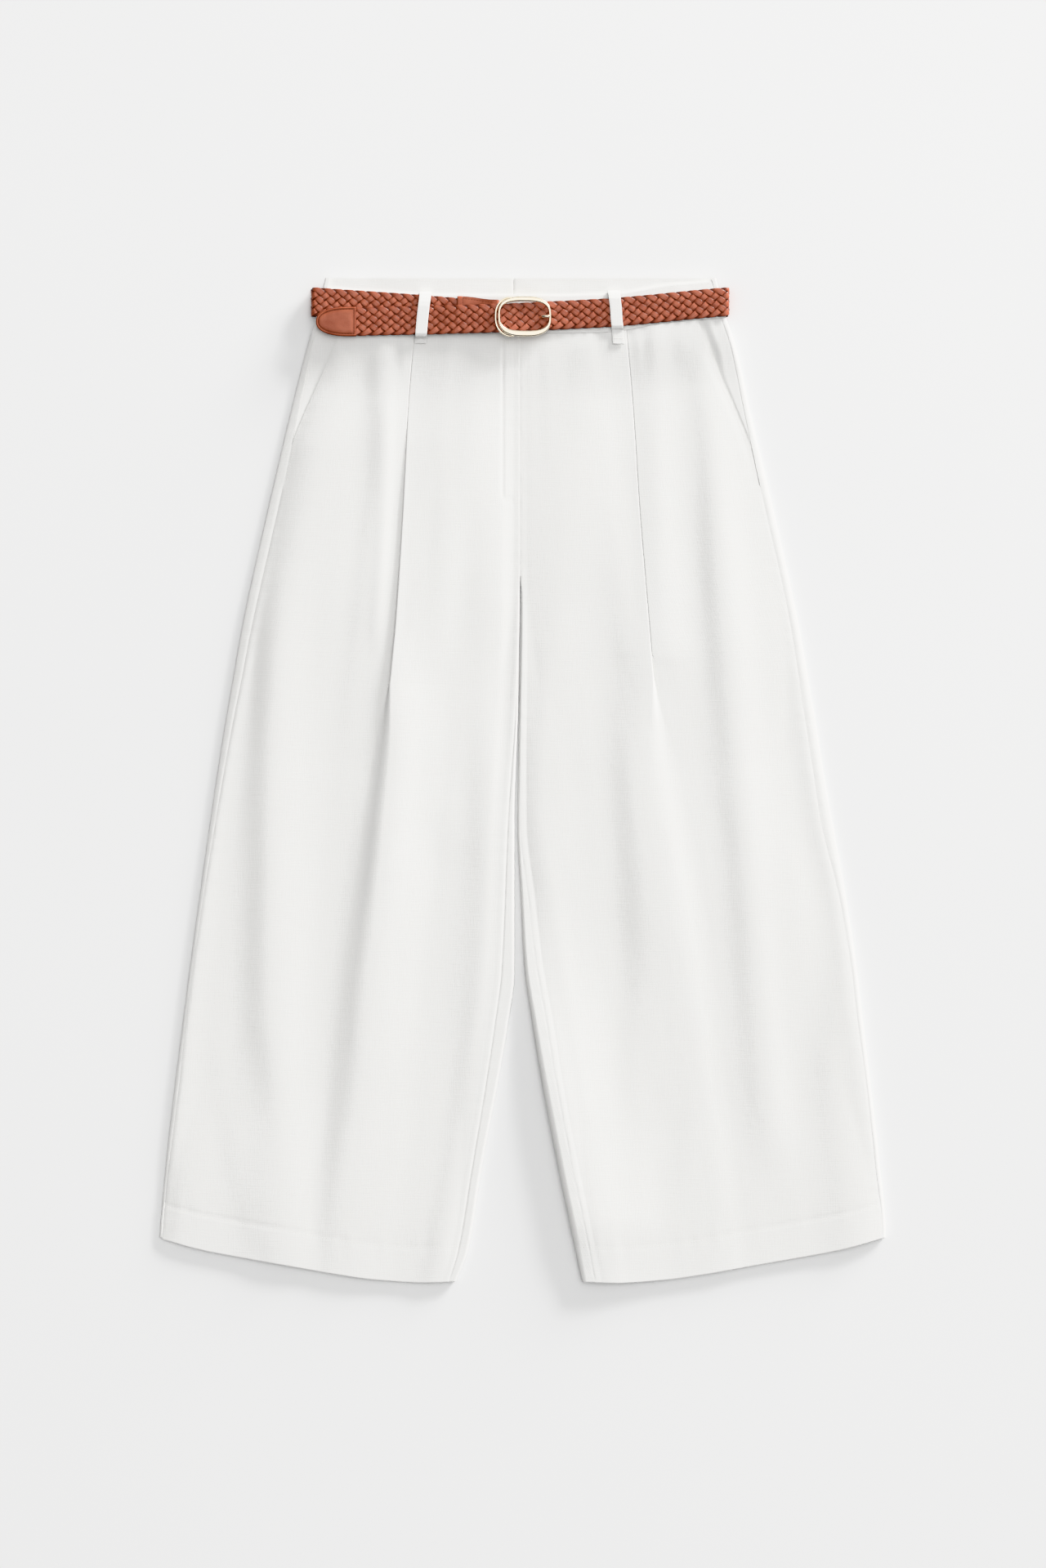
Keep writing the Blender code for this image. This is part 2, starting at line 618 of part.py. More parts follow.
# ---------------------------------------------------------------- waistband and loops
def make_waistband(leg, collection):
    """Front and back halves of the waistband; the back one rolls over to the side seam."""
    rows = []
    for down in np.linspace(0, WAISTBAND_WIDTH, 3):
        side_drop = float(along(leg.waist_edge, "across", "drop", 176.0)) + down
        end = float(side_seam(leg, side_drop)) - GAP
        across = np.linspace(CENTRE_GAP / 2, end, 10)
        drop = along(leg.waist_edge, "across", "drop", across) + down
        rows.append((across, drop, np.full(len(across), FRONT_BAND)))
    across, drop, height = (np.array(part) for part in zip(*rows))
    points = world(leg.sign, across, drop, height)
    sheet("waistband_front_" + leg.name, points, WAISTBAND_WALL, "cloth", collection)

    rows = []
    radius = (FRONT_BAND - BACK_BAND) / 2
    angles = np.radians([90, 45, 0, -45, -90])
    for drop in np.linspace(0, WAISTBAND_WIDTH, 3):
        seam = float(side_seam(leg, drop)) + GAP / 2
        outer = float(level(leg, "outer", drop)) - WAISTBAND_WALL / 2
        flat = np.linspace(outer - radius, centre_back(leg, drop), 7)[1:]
        across = np.concatenate([[seam], outer - radius + radius * np.cos(angles), flat])
        height = np.concatenate([[FRONT_BAND], BACK_BAND + radius + radius * np.sin(angles),
                                 np.full(len(flat), BACK_BAND)])
        rows.append((across, np.full(len(across), drop), height))
    across, drop, height = (np.array(part) for part in zip(*rows))
    points = world(leg.sign, across, drop, height)
    sheet("waistband_back_" + leg.name, points, WAISTBAND_WALL, "cloth", collection)


LoopPoint = namedtuple("LoopPoint", "drop height")
FRONT_LOOP_RIGHT = (
    LoopPoint(12.6, 6.3), LoopPoint(12.6, 10.2), LoopPoint(13.6, 11.4), LoopPoint(22.6, 12.0),
    LoopPoint(24.0, 14.2), LoopPoint(26.0, 14.8), LoopPoint(49.4, 14.8), LoopPoint(51.6, 14.1),
    LoopPoint(52.4, 10.2), LoopPoint(54.0, 9.1), LoopPoint(57.6, 9.0),
)
FRONT_LOOP_LEFT = (
    LoopPoint(11.3, 6.3), LoopPoint(11.3, 8.0), LoopPoint(12.4, 8.4), LoopPoint(15.2, 8.8),
    LoopPoint(16.2, 10.8), LoopPoint(18.2, 11.4), LoopPoint(42.2, 11.4), LoopPoint(44.4, 10.7),
    LoopPoint(45.4, 9.4), LoopPoint(48.0, 9.0), LoopPoint(58.0, 9.0),
)
BACK_LOOP = (
    LoopPoint(1.2, 3.8), LoopPoint(4.8, 3.7), LoopPoint(6.6, 2.9), LoopPoint(7.2, 1.2),
    LoopPoint(8.4, 0.5), LoopPoint(33.6, 0.5), LoopPoint(35.0, 1.1), LoopPoint(35.8, 2.4),
    LoopPoint(37.0, 2.8), LoopPoint(41.0, 2.6),
)
FrontLoop = namedtuple("FrontLoop", "name path width top_x bottom_x")
LOOPS = (
    FrontLoop("belt_loop_front_right", FRONT_LOOP_RIGHT, 10.2, -83.4, -88.2),
    FrontLoop("belt_loop_front_left", FRONT_LOOP_LEFT, 10.4, 82.2, 86.4),
    FrontLoop("belt_loop_back_right", BACK_LOOP, 10.2, -143.0, -144.0),
    FrontLoop("belt_loop_back_centre", BACK_LOOP, 10.2, -7.0, -7.0),
    FrontLoop("belt_loop_back_left", BACK_LOOP, 10.2, 156.0, 155.0),
)


def make_loop(loop, collection):
    """A loop is a strip of cloth carried along its path over or under the belt."""
    drop, height = column(loop.path, "drop"), column(loop.path, "height")
    lean = (drop - drop[0]) / (drop[-1] - drop[0])
    middle = blend(loop.top_x, loop.bottom_x, lean)
    across = middle[:, None] + np.array([-0.5, 0.5]) * loop.width
    points = world(1, across, drop[:, None], height[:, None])
    sheet(loop.name, points, LOOP_WALL, "cloth", collection)


# ---------------------------------------------------------------- belt
StrapPoint = namedtuple("StrapPoint", "x drop height")
TURN = (FRONT_RUN - BACK_RUN) / 2
LEFT_TURN_X = 179.6
RIGHT_TURN_X = -180.3
STRAP_TOP_RUN = (
    StrapPoint(-144.2, 38.9, OVER_RUN), StrapPoint(-118.0, 38.3, OVER_RUN),
    StrapPoint(-93.0, 37.8, OVER_RUN), StrapPoint(-76.0, 37.5, 12.5),
    StrapPoint(-61.0, 37.1, 13.4), StrapPoint(-52.0, 36.9, 13.9), StrapPoint(-38.0, 36.5, 14.1),
    StrapPoint(-22.0, 36.0, 14.5), StrapPoint(-12.0, 35.6, 13.9), StrapPoint(2.0, 34.9, 12.3),
    StrapPoint(14.0, 34.2, 11.1), StrapPoint(26.0, 33.4, 10.2), StrapPoint(42.0, 32.6, 9.3),
    StrapPoint(60.0, 31.6, FRONT_RUN), StrapPoint(84.0, 30.2, FRONT_RUN),
    StrapPoint(120.0, 26.9, FRONT_RUN), StrapPoint(152.0, 23.6, FRONT_RUN),
)
STRAP_UNDER_RUN = (
    StrapPoint(-150.0, 23.2, FRONT_RUN), StrapPoint(-110.0, 25.9, FRONT_RUN),
    StrapPoint(-80.0, 28.2, FRONT_RUN), StrapPoint(-53.8, 30.6, FRONT_RUN),
)
TURN_DROP = 21.1


def strap_knots():
    """The strap's middle line: over run, round the left side, back run, right side, under run."""
    def half_turn(x, way):
        # From the front run's height round the outside to the back run's, or back again.
        angles = np.radians(np.linspace(90, -90, 9))
        if way == "up":
            angles = -angles
        side = 1 if x > 0 else -1
        middle = (FRONT_RUN + BACK_RUN) / 2
        return [StrapPoint(x + side * TURN * math.cos(a), TURN_DROP, middle + TURN * math.sin(a))
                for a in angles]

    back = [StrapPoint(x, TURN_DROP, BACK_RUN) for x in np.linspace(150, -150, 7)]
    top = [StrapPoint(*row) for row in smooth_path(STRAP_TOP_RUN, 33)]
    under = [StrapPoint(*row) for row in smooth_path(STRAP_UNDER_RUN, 5)]
    return (top + half_turn(LEFT_TURN_X, "down") + back + half_turn(RIGHT_TURN_X, "up") + under)


def strap_mesh(name, knots):
    """A flat strap with softened edges, carried along its middle line."""
    path = np.array([[k.x, LENGTH / 2 - k.drop, k.height] for k in knots])
    path[:, 0] += CENTRE_FRONT_X
    tangent = np.gradient(path, axis=0)
    tangent /= np.linalg.norm(tangent, axis=1)[:, None]
    width_way = np.cross(tangent, np.cross(np.array([0.0, 1.0, 0.0]), tangent))
    width_way /= np.linalg.norm(width_way, axis=1)[:, None]
    thick_way = np.cross(tangent, width_way)
    half_width, half_wall, soft = STRAP_WIDTH / 2, STRAP_WALL / 2, 0.8
    section = [(half_width, half_wall - soft), (half_width - soft, half_wall),
               (soft - half_width, half_wall), (-half_width, half_wall - soft),
               (-half_width, soft - half_wall), (soft - half_width, -half_wall),
               (half_width - soft, -half_wall), (half_width, soft - half_wall)]
    rings = np.array([path + u * width_way + v * thick_way for u, v in section])
    rings = rings.transpose(1, 0, 2) * MM
    count, around = rings.shape[:2]
    faces = []
    for i in range(count - 1):
        for j in range(around):
            k = (j + 1) % around
            faces.append((i * around + j, i * around + k, (i + 1) * around + k,
                          (i + 1) * around + j))
    faces.append(tuple(range(around - 1, -1, -1)))
    faces.append(tuple((count - 1) * around + j for j in range(around)))
    mesh = bpy.data.meshes.new(name)
    mesh.from_pydata(rings.reshape(-1, 3).tolist(), [], faces)
    shape = bmesh.new()
    shape.from_mesh(mesh)
    bmesh.ops.recalc_face_normals(shape, faces=shape.faces)
    shape.to_mesh(mesh)
    shape.free()
    return mesh


HEEL_X = -21.0
HEEL_HEIGHT = 10.4
HEEL_RADIUS = 0.9
PRONG_RADIUS = 0.8
BUCKLE_DROP = 34.7
BUCKLE_X = 3.7


def place(x, drop, height):
    return Vector(((x + CENTRE_FRONT_X) * MM, (LENGTH / 2 - drop) * MM, height * MM))


def box_cutter(name, low, high, collection):
    """A plain box used to cut a slot."""
    size = high - low
    scale = (abs(size.x), abs(size.y), abs(size.z))
    bpy.ops.mesh.primitive_cube_add(size=1.0, location=(low + high) / 2, scale=scale)
    cutter = bpy.context.active_object
    cutter.name = name
    for other in list(cutter.users_collection):
        other.objects.unlink(cutter)
    collection.objects.link(cutter)
    cutter.hide_render = True
    cutter.display_type = "WIRE"
    return cutter


def cut(item, cutter):
    slot = item.modifiers.new("slot", "BOOLEAN")
    slot.operation = "DIFFERENCE"
    slot.object = cutter
    slot.solver = "EXACT"


def make_strap(collection, cutters):
    mesh = strap_mesh("belt_strap", strap_knots())
    strap = add_object("belt_strap", mesh, "braid", collection)
    slot = box_cutter("prong_slot", place(11.0, BUCKLE_DROP + 1.5, 4.0),
                      place(21.5, BUCKLE_DROP - 1.5, 18.0), cutters)
    cut(strap, slot)


def flat_outline(name, outlines, thickness, soft, finish, collection, location, tilt=0.0):
    """A flat outline in the XY plane, extruded evenly about its own plane."""
    curve = bpy.data.curves.new(name, "CURVE")
    curve.dimensions = "2D"
    curve.fill_mode = "BOTH"
    curve.extrude = (thickness / 2 - soft) * MM
    curve.bevel_depth = soft * MM
    curve.offset = -soft * MM
    curve.bevel_resolution = 1
    for outline in outlines:
        spline = curve.splines.new("POLY")
        spline.points.add(len(outline) - 1)
        for point, (x, y) in zip(spline.points, outline):
            point.co = (x * MM, y * MM, 0.0, 1.0)
        spline.use_cyclic_u = True
    return mesh_from_curve(name, curve, finish, collection, location, tilt)


def mesh_from_curve(name, curve, finish, collection, location=Vector(), tilt=0.0):
    """Turn a curve into one closed mesh part, placed by its location and tilt about Y."""
    guide = bpy.data.objects.new(name + "_guide", curve)
    collection.objects.link(guide)
    bpy.context.view_layer.update()
    graph = bpy.context.evaluated_depsgraph_get()
    mesh = bpy.data.meshes.new_from_object(guide.evaluated_get(graph))
    bpy.data.objects.remove(guide)
    bpy.data.curves.remove(curve)
    shape = bmesh.new()
    shape.from_mesh(mesh)
    bmesh.ops.remove_doubles(shape, verts=shape.verts, dist=0.00002)
    bmesh.ops.recalc_face_normals(shape, faces=shape.faces)
    shape.to_mesh(mesh)
    shape.free()
    mesh.name = name
    item = add_object(name, mesh, finish, collection)
    item.location = location
    item.rotation_euler = (0.0, tilt, 0.0)
    return item


def wire(name, points, radius, closed, finish, collection):
    """A round wire through points given as x, drop, height."""
    curve = bpy.data.curves.new(name, "CURVE")
    curve.dimensions = "3D"
    curve.bevel_depth = radius * MM
    curve.bevel_resolution = 2
    curve.use_fill_caps = True
    spline = curve.splines.new("POLY")
    spline.points.add(len(points) - 1)
    for target, (x, drop, height) in zip(spline.points, points):
        target.co = (*place(x, drop, height), 1.0)
    spline.use_cyclic_u = closed
    return mesh_from_curve(name, curve, finish, collection)


TIP_END_X = -145.0
TIP_DROP = 38.9
TIP_LENGTH = 34.9
TIP_STRAIGHT = 6.0


def make_tip(collection):
    """The stitched leather tip: straight sides, then a half ellipse to a blunt point."""
    half = 13.0
    angles = np.radians(np.linspace(90, 270, 25))
    round_length = TIP_LENGTH - TIP_STRAIGHT
    curve = [(-TIP_STRAIGHT + round_length * math.cos(a), half * math.sin(a)) for a in angles]
    outline = [(0.0, half)] + curve + [(0.0, -half)]
    flat_outline("belt_tip", [outline], 3.4, 0.4, "leather", collection,
                 place(TIP_END_X, TIP_DROP, 12.6))


CHAPE_START = -51.6


def make_chape(collection, cutters):
    """The leather chape: two lying layers joined round the buckle's bar, with a prong slot."""
    turn = 1.7
    angles = np.radians(np.linspace(-90, 90, 7))
    bend = [(HEEL_X + turn * math.cos(a), HEEL_HEIGHT + turn * math.sin(a)) for a in angles]
    path = ([(CHAPE_START, 8.1), (-36.0, 8.1), (-27.0, 8.15), (-24.0, 8.3)] + bend
            + [(-23.4, 11.9), (-27.0, 11.1), (-31.0, 10.3), (-36.0, 9.7), (CHAPE_START, 9.6)])
    x = np.array([point[0] for point in path])
    height = np.array([point[1] for point in path])
    narrowing = ease(x, CHAPE_START, HEEL_X)
    half = blend(12.6, 12.2, narrowing)
    middle = blend(30.4, 35.7, narrowing)
    drop = middle[:, None] + half[:, None] * np.array([-1.0, 0.0, 1.0])
    points = world(1, x[:, None], drop, height[:, None])
    chape = sheet("belt_chape", points, 1.0, "leather", collection)
    slot = box_cutter("chape_slot", place(-27.5, 37.3, 6.0), place(-16.0, 34.3, 15.0), cutters)
    cut(chape, slot)


def make_keeper(collection):
    """The small fixed keeper: a band that arches over the strap's end."""
    path = np.array([(16.8, 8.2), (16.8, 10.3), (18.2, 11.3), (31.0, 11.5), (42.9, 11.3),
                     (44.5, 10.3), (44.5, 8.2)])
    across = -53.2 + np.array([-2.4, 2.4])
    points = world(1, across[None, :], path[:, :1], path[:, 1:])
    sheet("belt_keeper", points, 1.0, "leather", collection)


def superellipse(half_x, half_y, power, count):
    """Points on a rounded rectangle: an ellipse whose sides are squared off by the power."""
    angles = np.linspace(0, 2 * math.pi, count, endpoint=False)
    cosine, sine = np.cos(angles), np.sin(angles)
    x = half_x * np.sign(cosine) * np.abs(cosine) ** (2 / power)
    y = half_y * np.sign(sine) * np.abs(sine) ** (2 / power)
    return list(zip(x, y))


def make_buckle(collection):
    """Ring over the strap, wire loop round the strap behind it, and the prong through it."""
    outer = superellipse(23.6, 17.7, 2.7, 56)
    inner = [(x - 0.2, y + 0.5) for x, y in superellipse(21.4, 12.8, 3.0, 56)]
    flat_outline("buckle_ring", [outer, inner], 2.4, 0.7, "gold", collection,
                 place(BUCKLE_X, BUCKLE_DROP, 15.5), math.radians(5.0))
    half_loop = [(-22.0, 0.0, 17.1), (-21.6, 6.0, 17.1), (-19.9, 11.0, 17.0),
                 (-17.0, 14.4, 16.6), (-15.4, 15.6, 15.0), (-17.0, 15.6, 12.6),
                 (-19.6, 15.0, 10.9), (HEEL_X, 13.0, HEEL_HEIGHT), (HEEL_X, 6.0, HEEL_HEIGHT)]
    other_half = [(x, -side, height) for x, side, height in half_loop[:0:-1]]
    knots = half_loop + [(HEEL_X, 0.0, HEEL_HEIGHT)] + other_half
    points = smooth_path([(x, 35.9 + side, height) for x, side, height in knots], 64, True)
    wire("buckle_loop", points, HEEL_RADIUS, True, "gold", collection)

    hook = HEEL_RADIUS + GAP + PRONG_RADIUS
    angles = np.radians(np.linspace(128, 270, 8))
    turn = [(HEEL_X + hook * math.cos(a), 35.8, HEEL_HEIGHT + hook * math.sin(a))
            for a in angles]
    shank = [(-14.0, 35.6, 8.45), (-2.0, 35.2, 8.55), (9.0, 34.9, 8.65), (13.4, 34.8, 9.5),
             (16.2, 34.7, 11.4), (18.8, 34.6, 13.6), (21.6, 34.6, 15.3), (26.0, 34.6, 16.1)]
    points = turn + [tuple(row) for row in smooth_path(shank, 22)]
    wire("buckle_prong", points, PRONG_RADIUS, False, "gold", collection)


# ---------------------------------------------------------------- the whole garment
def clear_scene():
    for item in list(bpy.data.objects):
        bpy.data.objects.remove(item)


def new_collection(name):
    collection = bpy.data.collections.new(name)
    bpy.context.scene.collection.children.link(collection)
    return collection


def main():
    clear_scene()
    parts = new_collection(COLLECTION_NAME)
    cutters = new_collection("cutters")
    for leg in LEGS:
        front = make_front(leg, parts)
        make_hem("hem_front_" + leg.name, leg, front, slice(1, -3), -LAYER, parts)
        back = make_back(leg, parts)
        make_hem("hem_back_" + leg.name, leg, back, BACK_FLOOR, LAYER, parts)
        make_pocket(leg, parts)
        make_waistband(leg, parts)
    make_fly(parts)
    for loop in LOOPS:
        make_loop(loop, parts)
    make_strap(parts, cutters)
    make_tip(parts)
    make_chape(parts, cutters)
    make_keeper(parts)
    make_buckle(parts)


main()
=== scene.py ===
"""Barrel leg trousers laid flat on their back, with their braided leather belt buckled on.

Frame: metres, +Z up from the floor, +Y towards the waist, +X towards the wearer's left.
Tables are in millimetres, and MM turns them into metres as a mesh is made. A place on a leg is
  across  distance out from the centre front line, positive towards that leg's side
  drop    distance down from the top edge of the back waistband
  height  a cloth wall's middle surface above the floor
"""
import logging
import math
from collections import namedtuple
from dataclasses import dataclass, field
from enum import Enum

import bpy
import numpy as np
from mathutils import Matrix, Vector

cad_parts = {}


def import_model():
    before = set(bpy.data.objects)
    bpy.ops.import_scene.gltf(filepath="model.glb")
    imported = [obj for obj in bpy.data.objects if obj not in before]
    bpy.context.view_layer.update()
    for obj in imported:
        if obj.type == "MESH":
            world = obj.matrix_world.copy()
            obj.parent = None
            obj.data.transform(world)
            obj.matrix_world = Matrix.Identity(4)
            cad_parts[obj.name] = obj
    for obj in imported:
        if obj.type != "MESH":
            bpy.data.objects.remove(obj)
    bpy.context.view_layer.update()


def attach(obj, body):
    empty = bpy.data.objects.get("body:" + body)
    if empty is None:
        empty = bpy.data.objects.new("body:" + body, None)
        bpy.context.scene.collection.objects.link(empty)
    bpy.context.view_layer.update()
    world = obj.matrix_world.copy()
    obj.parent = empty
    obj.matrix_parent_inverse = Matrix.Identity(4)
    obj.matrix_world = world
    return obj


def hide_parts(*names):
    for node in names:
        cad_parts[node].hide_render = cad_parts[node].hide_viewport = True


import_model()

Array = np.ndarray
Triple = tuple[float, float, float]
Colour = Triple
Node = bpy.types.Node
Socket = bpy.types.NodeSocket
Tree = bpy.types.NodeTree
Material = bpy.types.Material
LOG = logging.getLogger("trousers")

MM = 0.001
LENGTH = 885.0            # from the back waistband's top edge to the hems
CENTRE_FRONT_X = -1.8
CLOTH = 1.1               # wall that the edges' rolls leave room for
SHELL = 0.72              # wall of the cloth as it shows
GAP = 0.3                 # between neighbouring pieces
CENTRE_GAP = 0.5          # between the two legs' edges at the centre
CURLED_GAP = 0.5          # between two edges that meet on a flat stretch
LAYER = 1.45              # from one lying panel's middle surface to the next one's
WAISTBAND_WALL = 1.2
WAISTBAND_WIDTH = 34.0
WAIST_SIDE = 178.0        # how far out the waist seam ends
LOOP_WALL = 1.0
HEM_DEPTH = 32.0
HEM_SWEEP = 230.0         # how far above the hem the rows start to follow its curve
CROTCH_DROP = 285.0
CURL_START = 22.0         # how far above the crotch the inner edges start to roll
LYING_BACK = CLOTH / 2    # height of a back panel on the floor
BACK_BAND = 5.2           # height of the back waistband, which lies on the belt
FRONT_BAND = 6.7          # height of the front waistband
BACK_RUN = 2.8            # height of the belt behind the waist
FRONT_RUN = 9.1           # height of the belt in front
OVER_RUN = 12.4           # height of the belt's tip end, which lies over its front
BACK_DESCENT = 26.0       # drop over which the back panels come down from their band
FRONT_DESCENT = 62.0      # drop over which the front panels come down from theirs
BASE_FRONT = LYING_BACK + LAYER
FOLD_LIMIT = 3.3          # height that no sum of soft folds passes
FLY_WIDTH = 33.0
FLY_TOP = 54.0
FLY_BOTTOM = 187.0
ZIP_HALF_WIDTH = 12.0
POCKET_EDGE_END = 183.0   # drop where a pocket's edge meets the side seam
POCKET_INNER = 122.0      # inner edge of a pocket's bag
POCKET_BOTTOM = 283.0
FACING_UNDERLAP = 14.0    # how far a pocket's facing goes on under the front
PLEAT_REACH = 50.0        # how far in from a pleat the cloth is back at its own height
TOP_ROW = 49.0            # nominal drop of a front panel's first row
FLY_LINE = 15.5           # the fly's stitches, out from the centre front
FLY_CORNER = 193.5        # drop where they turn towards it


class Slot(Enum):
    """The record's material slots."""

    CLOTH = "cloth"
    POCKETING = "pocketing"
    ZIP_TAPE = "zip_tape"
    BRAID = "braided_leather"
    LEATHER = "smooth_leather"
    GOLD = "gold_metal"


# ---- tables, mm
def table(kind: type, *rows: tuple) -> tuple:
    """Rows of one kind, each given as its columns in order."""
    return tuple(kind(*row) for row in rows)


LegLevel = namedtuple("LegLevel", "drop outer side_seam inseam inner")
RIGHT_LEVELS = table(
    LegLevel,
    (0, 172, 168, 0, 0), (34, 180, 176, 0, 0), (60, 188, 183.6, 0, 0), (115, 202, 195, 0, 0),
    (187, 219, 210, 0, 0), (285, 241, 232, 0.8, 0), (318, 247.5, 239, 1.4, 0.4),
    (350, 253, 245, 2.5, 1), (390, 260, 253, 5, 2), (475, 273, 268, 11, 5),
    (611, 292, 289, 17, 5), (658, 298, 295, 23, 11), (705, 304, 300, 30, 19),
    (784, 313, 310, 43, 34), (856, 319, 317, 55, 46), (885, 320, 318, 64, 57),
)
LEFT_LEVELS = table(
    LegLevel,
    (0, 172, 168, 0, 0), (34, 181, 177, 0, 0), (60, 190, 185.6, 0, 0), (115, 202, 197, 0, 0),
    (187, 219, 212, 0, 0), (285, 241, 234, 0.8, 0), (318, 247.5, 240, 0.6, -0.3),
    (350, 253, 245, 0.3, -0.9), (390, 260, 251, -0.3, -1.7), (435, 267, 258, -0.7, -2.5),
    (480, 275, 265, -0.4, -3), (546, 287, 281, 7, 0), (604, 296, 291, 14, 3),
    (655, 302, 297, 23, 10), (705, 308, 304, 31, 18), (784, 317, 313, 46, 33),
    (842, 322, 319, 58, 45), (885, 319, 317, 66, 54),
)

EdgePoint = namedtuple("EdgePoint", "across drop")
HEM_EDGE = table(
    EdgePoint,
    (0, 881), (55, 884), (85, 885), (127, 882.5), (163, 877.5), (200, 871), (240, 864),
    (280, 856.5), (322, 845),
)
RIGHT_WAIST_EDGE = table(
    EdgePoint,
    (0, 14.4), (60, 14.2), (90, 13.7), (120, 12.3), (150, 9.8), (182, 7.0),
)
LEFT_WAIST_EDGE = table(
    EdgePoint,
    (0, 14.4), (60, 14.2), (90, 12.0), (120, 6.8), (150, 3.4), (182, 0.8),
)

PocketEdge = namedtuple("PocketEdge", "drop across")
POCKET_EDGE = table(
    PocketEdge,
    (36, 156), (55, 162), (86, 175), (114, 188), (140, 199), (158, 205), (183, 210),
)

# Forward pleat: where its folded edge runs, how far the cloth doubles back under it, how far it
# turns at each of its two bends, how high it steps, and how far it is pressed shut, 0 to 1.
PleatLevel = namedtuple("PleatLevel", "drop edge overlap turn step shut")
RIGHT_PLEAT = table(
    PleatLevel,
    (36, 92, 20, 180, 1.5, 1), (110, 98.3, 20, 180, 1.6, 1), (150, 100.4, 19, 180, 1.9, 0.5),
    (210, 103.6, 17, 180, 2.2, 0), (258, 106.6, 14, 180, 2.6, 0), (310, 110.5, 7, 180, 3.2, 0),
    (335, 113, 2.6, 180, 3.8, 0), (350, 114.5, 1.6, 110, 4.1, 0), (375, 117.6, 1.6, 55, 4.6, 0),
    (402, 120.5, 1.6, 36, 4.9, 0), (450, 126.5, 1.6, 27, 5.0, 0), (500, 132.5, 1.5, 23, 4.8, 0),
    (560, 139.5, 1.5, 17, 4.0, 0), (620, 147, 1.5, 12, 3.0, 0), (690, 152, 1.5, 8, 2.1, 0),
    (800, 168, 1.5, 5, 1.4, 0), (885, 174, 1.5, 3.6, 1.0, 0),
)
LEFT_PLEAT = table(
    PleatLevel,
    (36, 92, 20, 180, 1.2, 1), (118, 99, 20, 180, 1.2, 1), (210, 105, 17, 180, 1.2, 1),
    (258, 109, 13, 180, 1.3, 1), (310, 113.4, 5, 180, 1.4, 1), (330, 115, 2.2, 180, 1.5, 0.8),
    (345, 116.3, 1.0, 100, 1.6, 0.3), (370, 118.8, 1.0, 30, 1.7, 0),
    (402, 122, 1.0, 10, 1.8, 0), (450, 130, 1.0, 7, 1.9, 0), (500, 139, 1.0, 7, 2.0, 0),
    (550, 147, 1.0, 6.5, 2.0, 0), (600, 155, 1.0, 6, 1.8, 0), (690, 167, 1.0, 5, 1.3, 0),
    (800, 183, 1.0, 4, 0.9, 0), (885, 192, 1.0, 3, 0.7, 0),
)

# Soft folds. A crest, or a trough where its height is below 0, runs from start to end through
# three places across.
Fold = namedtuple("Fold", "start end top middle bottom half_width height")
RIGHT_FOLDS = table(
    Fold,
    (215, 940, 211, 220, 203, 27, 2.4), (330, 940, 30, 33, 88, 15, 2.1),
    (60, 340, 119, 118, 128, 8, 1.0), (140, 520, 62, 66, 70, 16, 0.9),
)
LEFT_FOLDS = table(
    Fold,
    (66, 820, 161, 193, 226, 17, 2.0), (540, 940, 284, 292, 300, 24, 1.7),
    (430, 940, 12, 28, 84, 22, 1.7),
)

# Smaller slopes. Going outward, the cloth rises (or falls, below 0) by `rise` over a band that
# runs through these places, and comes back over one that is three times as wide.
SlopePlace = namedtuple("SlopePlace", "drop across rise")
Slope = namedtuple("Slope", "half_width places")


def slope(half_width: float, *places: tuple) -> Slope:
    """A slope of this band's half width through places given as drop, across and rise."""
    return Slope(half_width, table(SlopePlace, *places))


RIGHT_SLOPES = (
    slope(7, (50, 130, -2.4), (72, 131, -3.4), (110, 132, -2.0), (150, 132, -1.6),
          (200, 136, -1.9), (250, 141, -1.5), (350, 154, -1.0), (440, 166, 0)),
    slope(12, (250, 216, -1.0), (300, 224, -3.6), (350, 228, -5.2), (450, 233, -5.6),
          (550, 234, -5.2), (650, 234, -4.2), (700, 227, -3.0), (760, 218, -1.4), (830, 212, 0)),
    slope(13, (440, 138, 0), (500, 143, -2.4), (560, 150, -3.8), (620, 157, -4.2),
          (700, 163, -5.0), (760, 169, -4.6), (820, 176, -3.6), (878, 180, 0)),
    slope(22, (110, 50, -1.6), (200, 44, -3.0), (300, 40, -4.6), (400, 50, -4.2),
          (500, 50, -4.0), (580, 54, -3.6), (650, 54, -2.8), (760, 56, 0)),
    slope(4, (50, 105, -0.9), (70, 105, -1.3), (95, 106, 0)),
    slope(9, (620, 262, 0), (690, 270, -1.0), (780, 258, -1.3), (860, 240, 0)),
    slope(8, (720, 96, 0), (780, 104, 1.1), (850, 118, 0)),
    slope(6, (52, 60, 0.5), (90, 62, 0.8), (170, 66, 0)),
)
